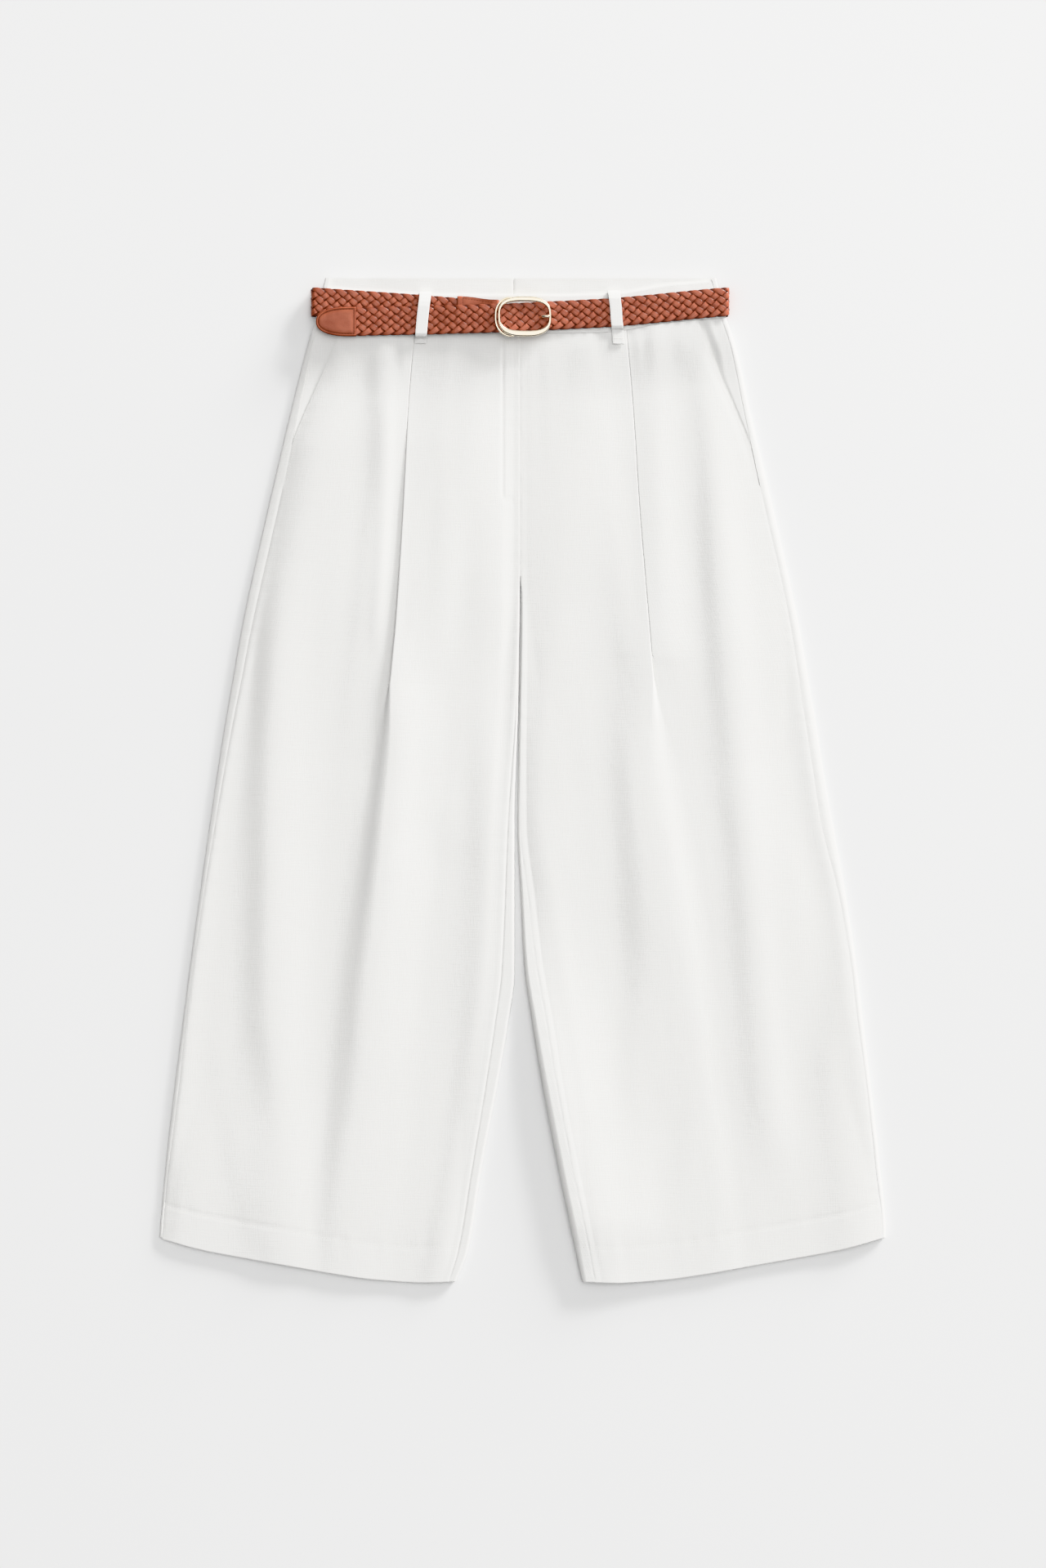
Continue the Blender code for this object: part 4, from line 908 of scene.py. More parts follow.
@dataclass(frozen=True)
class LeatherFinish:
    """Dyed leather with a soft polish."""

    name: str
    face: Colour
    dark: Colour            # of its pores and burnished edges, and the painted shade where a braid's strands sink and in the gaps along their edges
    worn: Colour            # where it is rubbed
    scale: float            # cells of grain in a metre
    relief: float           # height of the grain, m
    braided: bool = False   # a strand, with painted shade where it is sunk, and darker edges that are partly painted shade in the gaps between strands

    def material(self, effects: Effects) -> Material:
        """Build the leather's material; the `raised` mask adds a coat where it is rubbed and, on a
        braid, painted shade where strands sink; the `edge` mask darkens the edges.
        """
        material, n, shader = principled(self.name, Specular_IOR_Level=0.3, Coat_Roughness=0.25)
        place = n.pattern() if self.braided else n.object_place()
        height, tint = n.group(effects.grain, place, Scale=self.scale)
        raised = n.mask("raised")
        base = n.mix(tint, self.face, self.worn)
        if self.braided:
            streak = n.noise(n.stretched(place, (45.0, 900.0, 1.0)), 1.0, 3.0)
            base = n.mix(n.span(streak, 0.38, 0.75, 0.0, 0.6), base, self.dark)
            height = n.plus(height, n.times(streak, 1.4))
            patch = n.noise(n.object_place(), 120.0, 1.0)
            base = n.mix(n.span(patch, 0.4, 0.62, 0.0, 0.5), base, self.worn)
            # Painted shade: the lower a strand lies under its neighbours, the darker it is painted.
            base = n.mix(n.times(n.span(raised, 0.15, 0.85, 1.0, 0.0), 0.92), base, self.dark)
        # Darker edges: burnished on smooth leather; on the braid, partly the strands' cut edges and
        # partly painted shade in the gaps between them.
        base = n.mix(n.times(n.mask("edge"), 0.85), base, self.dark)
        n.feed(shader, Base_Color=base, Roughness=n.span(tint, 0, 1, 0.44, 0.32),
               Coat_Weight=n.span(raised, 0.2, 1.0, 0.0, 0.25),
               Normal=n.bump(height, self.relief))
        return material


@dataclass(frozen=True)
class MetalFinish:
    """Pale gold plate with fine polishing lines."""

    name: str
    plate: Colour
    dulled: Colour

    def material(self, effects: Effects) -> Material:
        """Build the plate's material on Object coordinates."""
        material, n, shader = principled(self.name, Metallic=1.0)
        place = n.object_place()
        mottle, = n.group(effects.mottle, place, Scale=160.0)
        lines = n.noise(n.stretched(place, (400.0, 3200.0, 3200.0)), 1.0, 2.0)
        rough = n.plus(n.span(mottle, 0, 1, 0.12, 0.2), n.times(lines, 0.06))
        n.feed(shader, Base_Color=n.mix(mottle, self.plate, self.dulled), Roughness=rough,
               Normal=n.bump(lines, 0.000008))
        return material


@dataclass(frozen=True)
class FloorFinish:
    """A matt pale floor, very faintly uneven."""

    name: str
    light: Colour
    dull: Colour

    def material(self, effects: Effects) -> Material:
        """Build the floor's material on Object coordinates."""
        material, n, shader = principled(self.name, Specular_IOR_Level=0.2)
        mottle, = n.group(effects.mottle, n.object_place(), Scale=3.0)
        n.feed(shader, Base_Color=n.mix(mottle, self.light, self.dull),
               Roughness=n.span(mottle, 0, 1, 0.8, 0.9))
        return material


class Materials:
    """Every finish of the garment, its belt and the studio, built once."""

    def __init__(self) -> None:
        """Build them all."""
        effects = Effects()
        white = ((0.773, 0.769, 0.755), (0.68, 0.673, 0.654))
        self.cloth = ClothFinish("white_linen_cloth", *white).material(effects)
        self.band = ClothFinish("white_linen_band", *white, pitch=0.0006, slub=0.42
                                ).material(effects)
        self.pocketing = ClothFinish("white_pocketing", (0.80, 0.79, 0.775), (0.72, 0.71, 0.69),
                                     0.0004, 0.15, 0.00007, 0.05).material(effects)
        self.zip_tape = ClothFinish("white_zip_tape", (0.82, 0.81, 0.79), (0.70, 0.69, 0.67),
                                    0.0008, 0.1, 0.00014, 0.05).material(effects)
        self.thread = ThreadFinish("white_thread", (0.84, 0.825, 0.80), (0.62, 0.60, 0.57)
                                   ).material()
        self.tan_thread = ThreadFinish("tan_thread", (0.15, 0.042, 0.022), (0.08, 0.02, 0.012)
                                       ).material()
        self.strand = LeatherFinish("cognac_strand", (0.352, 0.086, 0.044), (0.085, 0.017, 0.0095),
                                    (0.44, 0.134, 0.075), 1100.0, 0.00006, True).material(effects)
        self.leather = LeatherFinish("cognac_leather", (0.27, 0.066, 0.032), (0.085, 0.019, 0.011),
                                     (0.41, 0.125, 0.067), 1300.0, 0.00005).material(effects)
        self.gold = MetalFinish("pale_gold_plate", (0.98, 0.91, 0.78), (0.95, 0.85, 0.68)
                                ).material(effects)
        self.floor = FloorFinish("pale_floor", (0.81, 0.81, 0.808), (0.80, 0.80, 0.798)
                                 ).material(effects)


# ---- the legs' form
@dataclass(frozen=True)
class LegForm:
    """One leg's shape: where its edges run and how high its cloth lies."""

    name: str                   # right or left, as worn
    sign: int                   # -1 for the wearer's right, 1 for the left
    levels: tuple               # its edges at each drop
    folds: tuple                # its largest soft folds
    slopes: tuple               # its smaller slopes
    puffs: tuple                # how far its front stands off its back
    waist_edge: tuple           # top edge of its front waistband
    pleat_levels: tuple         # its pleat at each drop
    gape: float                 # how far its pocket's top hangs open, mm
    edge_fall: float            # share of its height that it loses at its side seam
    inner_lift: float           # how far its inner edge stands up near the hem, mm
    roll: float                 # how far its outer roll is drawn out to the side seam, 0 to 1
    facing_lift: float          # how far its pocket's facing comes up to its front, 0 to 1
    press: tuple[float, float]  # how deep its front's and back's seams are pressed, mm
    seed: int                   # picks its faint unevenness

    def level(self, name: str, drop: Array | float) -> Array:
        """One of the leg's edges at a drop."""
        return along(self.levels, "drop", name, drop)

    def pleat(self, name: str, drop: Array | float) -> Array:
        """One of the pleat's measures at a drop."""
        return along(self.pleat_levels, "drop", name, drop)

    def waist_drop(self, across: Array | float) -> Array:
        """Drop of the front waistband's top edge."""
        return along(self.waist_edge, "across", "drop", np.abs(across))

    def seam_drop(self, across: Array | float) -> Array:
        """Drop of the front waist seam."""
        return self.waist_drop(across) + WAISTBAND_WIDTH + GAP

    def side_seam(self, drop: Array | float) -> Array:
        """The side seam, kept inside the roll where front and back meet at the outer edge."""
        lying = BASE_FRONT + LAYER * 1.1
        top = fade(drop - self.seam_drop(WAIST_SIDE), 0, FRONT_DESCENT)
        roll_radius = (blend(lying, FRONT_BAND, top) - back_height(drop)) / 2
        room = CLOTH / 2 + roll_radius + 0.8
        return np.minimum(self.level("side_seam", drop), self.level("outer", drop) - room)

    @staticmethod
    def summed(folds: tuple, across: Array, drop: Array) -> Array:
        """Summed crests: each a bell across, along a parabola through its three places."""
        total = np.zeros(np.broadcast(across, drop).shape)
        for fold in folds:
            t = (drop - fold.start) / (fold.end - fold.start)
            crest = (fold.top * (1 - 2 * t) * (1 - t) + fold.middle * 4 * t * (1 - t)
                     + fold.bottom * t * (2 * t - 1))
            swell = ease(t, 0.0, 0.3) * fade(t, 0.85, 1.0)
            total = total + fold.height * swell * bell(across - crest, fold.half_width)
        return total

    def front_height(self, across: Array | float, drop: Array | float, folds: bool = True) -> Array:
        """Middle surface of the front panel, with what it lies on and its large folds.

        Args:
            across: Distance out from the centre front line, mm.
            drop: Distance down, mm.
            folds: Whether to count the soft folds.

        Returns:
            Heights in mm.
        """
        across, drop = np.broadcast_arrays(np.asarray(across, float), np.asarray(drop, float))
        from_hem = hem_drop(across) - drop
        pocket = ease(across, POCKET_INNER - 26, POCKET_INNER + 4)
        pocket = pocket * fade(drop, POCKET_BOTTOM + 2, POCKET_BOTTOM + 150)
        fly = fade(across, FLY_WIDTH, FLY_WIDTH + 62)
        fly = fly * fade(drop, FLY_BOTTOM - 10, FLY_BOTTOM + 190)
        hem = fade(from_hem, HEM_DEPTH + 4, HEM_DEPTH + 130)
        from_seam = np.maximum(self.side_seam(drop) - across, 0)
        side = bell(from_seam, 13)
        from_inseam = np.maximum(across - self.level("inseam", drop), 0)
        inner = bell(from_inseam, 10)
        inner = inner * ease(drop, 180, 215)
        height = LAYER * loudest(pocket, side, inner, 2 * fly, 0.9 * hem)
        fall = self.edge_fall * (1 - 0.3 * ease(drop, 250, 330)) * ease(drop, 60, 95)
        fall = fall * fade(from_hem, 20, 120)
        height = BASE_FRONT + height * (1 - fall * bell(from_seam, 9))
        lift = self.inner_lift * ease(drop, 540, 740) * (1 - 0.5 * ease(from_hem, 60, 0))
        height = height + lift * bell(from_inseam, 60)
        edge, overlap = self.pleat("edge", drop), self.pleat("overlap", drop)
        if folds:
            # The folds pass over the pleat's underlay flat.
            beside = np.abs(across - edge + overlap / 2) - overlap / 2 - 6
            calm = bell(np.maximum(beside, 0), 8) * fade(drop, 520, 640)
            crests = FOLD_LIMIT * np.tanh(self.summed(self.folds, across, drop) / FOLD_LIMIT)
            height = height + crests * (1 - calm)
        # Up to the waist seam, which lies over the belt's back run.
        pocket_top = ease(across, 106, 120) * fade(across, 160, 174)
        dip = ease(across, edge - overlap - 14, edge - overlap - 4)
        dip = dip * fade(across, edge + 1, edge + 12)
        waist = FRONT_BAND + LAYER * pocket_top - 0.7 * dip * (1 - pocket_top)
        top = fade(drop - self.seam_drop(across), 0, FRONT_DESCENT)
        return blend(height, waist, top)

    def small_relief(self, across: Array, drop: Array, outer: Array, inner: Array) -> Array:
        """What the soft cloth adds to the front panel's height: puff, slopes and unevenness.

        A slope is half a hyperbolic tangent across its band, less the same over a band three
        times as wide. Where the sum would sink below the back panel it eases to a rest on it.

        Args:
            across: Distance out from the centre front line, mm.
            drop: Distance down, mm.
            outer: Where the panel's outer edge is, row by row.
            inner: Where its inner roll starts, row by row.

        Returns:
            Heights to add, mm.
        """
        total = np.zeros(across.shape)
        for band in self.slopes:
            middle = along(band.places, "drop", "across", drop)
            rise = along(band.places, "drop", "rise", drop) / 2
            beside = (across - middle) / band.half_width
            total = total + rise * (np.tanh(beside) - np.tanh(beside / 3))
        from_outer, from_inner = outer - across, across - inner
        total = total * ease(from_inner, 0, 12) * ease(from_outer, 0, 9)
        puff, outer_fall, inner_fall = (along(self.puffs, "drop", name, drop)
                                        for name in ("height", "outer_fall", "inner_fall"))
        sides = ((1 - (1 - np.clip(from_outer / outer_fall, 0, 1)) ** 2)
                 * (1 - (1 - np.clip(from_inner / inner_fall, 0, 1)) ** 2))
        total = total * (1 - 0.5 * ease(drop, 700, 870)) + puff * sides
        lean = across - 0.12 * (drop - 300)
        total = total + sides * (0.11 * ripple(lean, drop, (15, 150), self.seed)
                                 + 0.035 * ripple(lean, drop, (6, 30), self.seed + 1))
        return 0.5 * (np.logaddexp(0, total / 0.5) - math.log(2)) + 0.35 * (1 - np.exp(-sides * 3))

    def shifted(self, nominal: Array, across: Array | float) -> Array:
        """Bend a nominal drop so that the first row follows the waist seam and the last the hem."""
        near_top = fade(nominal, TOP_ROW, TOP_ROW + 90)
        near_hem = ease(nominal, LENGTH - HEM_SWEEP, LENGTH)
        return (nominal + (self.seam_drop(across) - TOP_ROW) * near_top
                + (hem_drop(across) - LENGTH) * near_hem)

    def front_outer(self, drop: Array) -> Array:
        """Outer edge of the front panel: the pocket edge, then the side seam below it."""
        seam = self.side_seam(drop) - 0.03
        pocket = along(POCKET_EDGE, "drop", "across", drop)
        return np.where(drop < POCKET_EDGE_END, np.minimum(pocket, seam), seam)

    def inner_edge(self, drop: Array) -> tuple[Array, Array]:
        """The roll at the leg's inner side: its radius and the height of its middle."""
        low = back_height(drop)
        high = self.front_height(self.level("inseam", drop), drop)
        return (high - low) / 2, (high + low) / 2

    def curl_end(self, drop: Array, radius: Array) -> tuple[Array, Array]:
        """Where the inseam lies on the inner roll: degrees up from its middle, and mm beyond."""
        start = self.level("inner", drop) + CENTRE_GAP / 2 + CLOTH / 2 + radius
        beyond = self.level("inseam", drop) - start
        angle = np.degrees(np.arccos(np.clip(-beyond / radius, -1, 1)))
        return np.where(beyond >= 0, 90.0, angle), np.maximum(beyond, 0.0)

    def centre_back(self, drop: Array) -> Array:
        """The centre back seam leans a little to the wearer's right at the waist."""
        lean = 6.0 * fade(drop, 0, CROTCH_DROP - CURL_START)
        return CENTRE_GAP / 2 - self.sign * lean


RIGHT = LegForm(
    "right", -1, RIGHT_LEVELS, RIGHT_FOLDS, RIGHT_SLOPES, RIGHT_PUFF, RIGHT_WAIST_EDGE,
    RIGHT_PLEAT, gape=0.0, edge_fall=0.9, inner_lift=0.0, roll=0.97, facing_lift=0.35,
    press=(0.2, 0.3), seed=11,
)
LEFT = LegForm(
    "left", 1, LEFT_LEVELS, LEFT_FOLDS, LEFT_SLOPES, LEFT_PUFF, LEFT_WAIST_EDGE,
    LEFT_PLEAT, gape=1.3, edge_fall=0.3, inner_lift=5.8, roll=0.45, facing_lift=1.0,
    press=(0.08, 0.1), seed=23,
)


def hem_drop(across: Array | float) -> Array:
    """Drop of the hem's lowest edge."""
    return along(HEM_EDGE, "across", "drop", across)


def back_height(drop: Array | float) -> Array:
    """The back panels hang from the belt's back run down to the floor."""
    rise = fade(drop, WAISTBAND_WIDTH, WAISTBAND_WIDTH + BACK_DESCENT)
    return LYING_BACK + (BACK_BAND - LYING_BACK) * rise


def seam_room(angle: Array) -> Array:
    """Edges that meet on a bend need more room between them than edges that lie flat."""
    return blend(CURLED_GAP, 0.06, np.minimum(angle / 90.0, 1.0))


# ---- leg panels
@dataclass
class Panel:
    """A leg panel's middle surface as a grid, rows down and columns across."""

    across: Array  # distance out from the centre front line, mm
    drop: Array    # distance down, mm
    points: Array  # the same places in metres
    outward: int   # 1 where the grid's normals leave the garment, or -1
    uv: Array      # pattern coordinates in metres

    def normals(self) -> Array:
        """Unit normals that leave the garment."""
        return grid_normals(self.points) * self.outward

    def sample(self, at_drop: Array, at_column: Array) -> tuple[Array, Array]:
        """Outer face points and normals at drops within columns, by straight interpolation.

        Args:
            at_drop: Drops in mm.
            at_column: Fractional columns, one for each drop.

        Returns:
            Points in metres, and unit normals.
        """
        left = np.clip(at_column.astype(int), 0, self.drop.shape[1] - 2)
        part = (at_column - left)[:, None]
        column_drop = self.drop[:, left].T
        row = np.array([np.interp(d, c, np.arange(len(c))) for d, c in zip(at_drop, column_drop)])
        upper = np.clip(row.astype(int), 0, self.drop.shape[0] - 2)
        share = (row - upper)[:, None]
        normals = self.normals()
        faces = self.points + normals * SHELL / 2 * MM

        def read(grid: Array) -> Array:
            """The grid's value between its four nearest places."""
            high = blend(grid[upper, left], grid[upper, left + 1], part)
            low = blend(grid[upper + 1, left], grid[upper + 1, left + 1], part)
            return blend(high, low, share)

        return read(faces), unit(read(normals))

    def column_at(self, across: Array, drop: Array) -> Array:
        """Fractional columns at places across, the innermost one where the cloth folds."""
        result = []
        for a, d in zip(across, drop):
            row = int(np.abs(self.drop[:, self.drop.shape[1] // 2] - d).argmin())
            line = self.across[row]
            cell = np.flatnonzero((line[:-1] - a) * (line[1:] - a) <= 0)[-1]
            result.append(cell + (line[cell] - a) / (line[cell] - line[cell + 1]))
        return np.array(result)


@dataclass
class LegPanels:
    """The front and back panels of one leg, each with its hem turned up inside."""

    form: LegForm
    side_columns: int = 38      # columns from the outer edge to the pleat's fold
    centre_columns: int = 40    # columns from the pleat to the inner roll
    row_step: float = 2.6       # nominal drop from row to row, mm
    turn_radius: float = 0.5    # of the fold at the hem's lowest edge, mm
    front: Panel | None = None

    def rows(self, first: float) -> Array:
        """Nominal drops of the rows, crowded at the waist seam and the hem, as a column."""
        last = LENGTH - self.turn_radius - SHELL / 2
        close = np.array([0.0, 0.5, 1.1, 1.9, 3.0])
        middle = np.linspace(first + 5.0, last - 1.6, int((last - first) / self.row_step))
        return np.concatenate([first + close, middle, [last - 0.7, last]])[:, None]

    def pleat_section(self, drop: Array) -> tuple[Array, Array, Array, Array]:
        """The pleat cut across: in under the fold, up round a bend, back out, and in again.

        Both bends have one radius and turn by one angle, with a straight stretch between them.
        A half turn makes the flat fold; a small angle makes the soft step that it opens into.

        Args:
            drop: One drop a row, as a column.

        Returns:
            Places across, lifts, the step's height, and the innermost place, row by row.
        """
        edge, overlap, turn, step = (self.form.pleat(name, drop)
                                     for name in ("edge", "overlap", "turn", "step"))
        angle = np.radians(turn)
        rise = 1 - np.cos(angle)
        radius = np.where(turn >= 90, step / 4, (0.5 + (90 - turn) / 180) * step / (2 * rise))
        opened = (step - 2 * radius * rise) / np.maximum(np.sin(angle), 0.02)
        straight = np.where(turn < 175, opened, np.maximum(overlap - 2 * radius, 0.0))
        sweep = angle * np.linspace(0, 1, 8)
        lower = np.stack([-radius * np.sin(sweep), radius * (1 - np.cos(sweep))])
        half = np.hstack([-np.cos(angle), np.sin(angle)]).T[..., None] * straight.T[..., None] / 2
        middle = lower[..., -1:] + half
        upper = 2 * middle - lower[..., ::-1]
        inside = middle + (lower[..., -1:] - middle) * np.array([0.5, 0.0, -0.5])
        fold_edge = np.where(turn >= 90, 2 * middle[0] + radius, middle[0])
        across = np.hstack([lower[0], inside[0], upper[0]]) + edge - fold_edge
        lift = np.hstack([lower[1], inside[1], upper[1]])
        innermost = np.minimum(across.min(axis=1, keepdims=True), across[:, -1:])
        return across, lift, step, innermost

    def inner_arc(self, drop: Array) -> tuple[Array, Array]:
        """The last points of a front row: flat at the centre front, curling in at the crotch."""
        form = self.form
        radius, middle = form.inner_edge(drop)
        rolled = ease(drop, CROTCH_DROP - CURL_START, CROTCH_DROP)
        angle, beyond = form.curl_end(drop, radius)
        turn = np.radians(90.0 - angle) * rolled
        end = turn * radius - beyond * rolled - seam_room(angle) / 2 * (rolled > 0)
        reach = np.where(rolled < 1, np.sin(turn), 1.0)
        edge = form.level("inner", drop) + CENTRE_GAP / 2 * ease(drop, 255, 300)
        start = edge + (radius + CLOTH / 2) * reach
        back = np.array([5.6, 4.9, 4.2, 3.6, 3.0, 2.5, 2.0, 1.6, 1.2, 0.85, 0.5, 0.25, 0.0])
        distance = end - back
        flat_across = start - distance
        flat_height = form.front_height(flat_across, drop)
        turned = np.pi / 2 - distance / radius
        across = np.where(distance <= 0, flat_across, start - radius * np.cos(turned))
        height = np.where(distance <= 0, flat_height, middle + radius * np.sin(turned))
        return across, height

    def front_grid(self) -> Panel:
        """The front panel's middle surface, from its outer edge over the pleat to the inseam."""
        form = self.form
        nominal = self.rows(TOP_ROW)
        drop_out = form.shifted(nominal, 150.0 + 170.0 * ease(nominal, 60, 850))
        drop_in = form.shifted(nominal, 58.0 * ease(nominal, 600, 850))
        middle = form.shifted(nominal, 100.0 + 80.0 * ease(nominal, 600, 850))
        fold_across, fold_lift, step, under = self.pleat_section(middle)
        arc_across, arc_height = self.inner_arc(drop_in)
        outer = form.front_outer(drop_out)
        first = fold_across[:, :1]
        near = np.maximum(form.pleat("edge", middle), first + 1.4)
        side = np.hstack([blend(outer, near + 3.0, packed_towards_ends(self.side_columns, 2.4)),
                          blend(near + 3.0, near + 0.2, np.linspace(0, 1, 8)[1:]),
                          blend(near + 0.2, first + 1.2, np.linspace(0, 1, 5)[1:])])
        centre = blend(fold_across[:, -1:] - 0.9, arc_across[:, :1] + 1.0,
                       packed_towards_ends(self.centre_columns, 1.8))
        fly_line = int(np.abs(centre[len(centre) // 8] - FLY_LINE).argmin())
        beside = FLY_LINE + np.array([1.1, 0.0, -1.1])
        centre[:, fly_line - 1:fly_line + 2] = blend(
            beside, centre[:, fly_line - 1:fly_line + 2], ease(middle, 205, 290))
        settle = step * fade(under - 3 - centre, 0, PLEAT_REACH)
        # Where the pleat is pressed shut, the cloth outside it rises to the fold's own level.
        outside = side - np.maximum(form.pleat("edge", middle), first)
        rising = step * form.pleat("shut", middle)
        rising = rising * ease(outside, 0.0, 1.0) * fade(outside, 6, 48)
        across = np.hstack([side, fold_across, centre])
        lift = np.hstack([rising, fold_lift, settle])
        drop = form.shifted(nominal, across)
        height = form.front_height(across, drop) + lift
        small = form.small_relief(across, drop, side[:, :1], arc_across[:, :1])
        if form.sign < 0:
            press = bell(across - FLY_LINE, 0.6) * fade(drop, 191, 195)
            foot = bell(drop - FLY_CORNER - 1.5, 2.0)
            foot = foot * fade(across, FLY_LINE - 1, FLY_LINE + 1)
            small = small - np.maximum(0.42 * press, 0.26 * foot)
        height = height + small * ease(drop - form.seam_drop(across), 0, 14)
        across = np.hstack([across, arc_across])
        drop = np.hstack([drop, form.shifted(nominal, arc_across)])
        height = np.hstack([height, arc_height])
        straight = side.shape[1] + fold_across.shape[1] + self.centre_columns // 2
        return self.panel(across, drop, height, straight, 1)

    def panel(self, across: Array, drop: Array, height: Array, straight_column: int,
              faces: int) -> Panel:
        """Turn a grid of places into a panel, its threads straight at one column.

        Args:
            across: Places across, mm.
            drop: Places down, mm.
            height: Heights, mm.
            straight_column: The column whose threads run straight down.
            faces: 1 where the panel's outer face looks up, -1 where it looks down.

        Returns:
            The panel.
        """
        points = world(self.form.sign, across, drop, height)
        normals = grid_normals(points)
        outward = faces if normals[len(points) // 2, straight_column, 2] > 0 else -faces
        length = lengths_along(points)
        u = across[:, straight_column:straight_column + 1] * MM
        u = u + (length[:, straight_column:straight_column + 1] - length)
        return Panel(across, drop, points, outward, np.stack([u, drop * MM], axis=-1))

    def back_grid(self) -> Panel:
        """The back panel: side strip, outer roll, floor, inner roll and inseam strip."""
        form = self.form
        nominal = self.rows(WAISTBAND_WIDTH + 0.1)
        near_hem = ease(nominal, LENGTH - HEM_SWEEP, LENGTH)
        drop_out = nominal + (hem_drop(320.0) - LENGTH) * near_hem
        drop_in = nominal + (hem_drop(58.0) - LENGTH) * near_hem
        seam = form.side_seam(drop_out) + 0.03
        outer = form.level("outer", drop_out) - CLOTH / 2
        low, high = back_height(drop_out), form.front_height(seam, drop_out)
        radius, middle = (high - low) / 2, (high + low) / 2
        # The roll is drawn out above, where the cloth falls away from the seam, and short below.
        drawn_out = np.maximum(radius, form.roll * (outer - seam))
        strip = blend(seam, outer - drawn_out, np.array([0.0, 0.4]))
        angles = np.radians(np.linspace(90, -90, 17))
        reach = np.where(angles > 0, drawn_out, 1.2 * radius)
        side_across = np.hstack([strip, outer + reach * (np.cos(angles) - 1)])
        swell = np.sin(angles)
        swell = np.where(angles > 0, 1 - (1 - swell) ** 0.55, swell)
        side_height = np.hstack([np.broadcast_to(high, strip.shape), middle + radius * swell])

        radius, middle = form.inner_edge(drop_in)
        low = back_height(drop_in)
        rolled = ease(drop_in, CROTCH_DROP - CURL_START, CROTCH_DROP)
        angle, beyond = form.curl_end(drop_in, radius)
        sweep = np.radians(90.0 + angle) * rolled
        end = sweep * radius + (beyond - seam_room(angle) / 2) * rolled
        reach = np.where(sweep < np.pi / 2, np.sin(sweep), 1.0)
        start = form.centre_back(drop_in) + form.level("inner", drop_in)
        start = start + (radius + CLOTH / 2) * reach
        first = -16.0 * (1 - rolled)
        share = 1 - (1 - np.linspace(0, 1, 26)) ** 1.25
        way = first + (end - first) * share
        quarter_turns = np.pi * radius
        turned = np.clip(way, 0, quarter_turns) / radius - np.pi / 2
        straight = np.maximum(way - quarter_turns, 0) + np.maximum(-way, 0)
        inner_across = start - radius * np.cos(turned) + straight
        inner_height = np.where(way <= 0, low, middle + radius * np.sin(turned))

        floor_across = blend(side_across[:, -1:], inner_across[:, :1],
                             packed_towards_ends(40, 1.7)[1:-1])
        floor_drop = nominal + (hem_drop(floor_across) - LENGTH) * near_hem
        room = form.front_height(floor_across, floor_drop) - back_height(floor_drop) - 1.2
        crease = form.summed(BACK_CREASES, floor_across, floor_drop)
        crease = crease + 0.16 * (1 + ripple(floor_across, floor_drop, (16, 80), form.seed + 7))
        edges = ease(side_across[:, -1:] - floor_across, 0, 16)
        edges = edges * ease(floor_across - inner_across[:, :1], 0, 16)
        crease = np.clip(crease, 0, None) * edges * ease(floor_drop, 70, 110)
        crease = np.minimum(crease, np.maximum(room, 0)) * fade(floor_drop, 800, 845)
        across = np.hstack([side_across, floor_across, inner_across])
        drop = np.hstack([np.broadcast_to(drop_out, side_across.shape), floor_drop,
                          np.broadcast_to(drop_in, inner_across.shape)])
        height = np.hstack([side_height, back_height(floor_drop) + crease, inner_height])
        straight = side_across.shape[1] + floor_across.shape[1] // 2
        return self.panel(across, drop, height, straight, -1)

    def seam_dips(self, panel: Panel, press: float) -> None:
        """Press a panel in along its sewn edges and ripple it a little beside them.

        The press is a bell of the distance from the edge; the ripple is uneven waves along the
        seam that die away over a few millimetres. The pocket's edge is left to stand.

        Args:
            panel: The panel, whose points move.
            press: How deep its seams are pressed, mm.
        """
        length = lengths_along(panel.points) / MM
        from_inner = length[:, -1:] - length
        from_hem = np.maximum(hem_drop(panel.across) - panel.drop, 0)
        sewn = ease(panel.drop, POCKET_EDGE_END - 4, POCKET_EDGE_END + 8)
        dip = bell(length, 1.0) * sewn + bell(from_inner, 1.0)
        dip = press * dip * ease(from_hem, 0.0, 4.0)
        beside = np.minimum(length, from_inner)
        pucker = 0.1 * ripple(panel.drop, beside, (6.5, 40), self.form.seed + 3)
        pucker = pucker * np.exp(-beside / 7) * ease(beside, 0, 2)
        line = from_hem - HEM_DEPTH
        dip = dip + 0.2 * bell(line, 1.1)
        pucker = pucker + (0.13 * ripple(panel.across, line, (7.5, 60), self.form.seed + 4)
                           * np.exp(-np.abs(line) / 10) * ease(beside, 2, 8))
        top = ease(panel.drop[:, :1] - panel.drop[:1, :1], 0, 8)
        panel.points += panel.normals() * ((pucker * top - dip) * MM)[..., None]

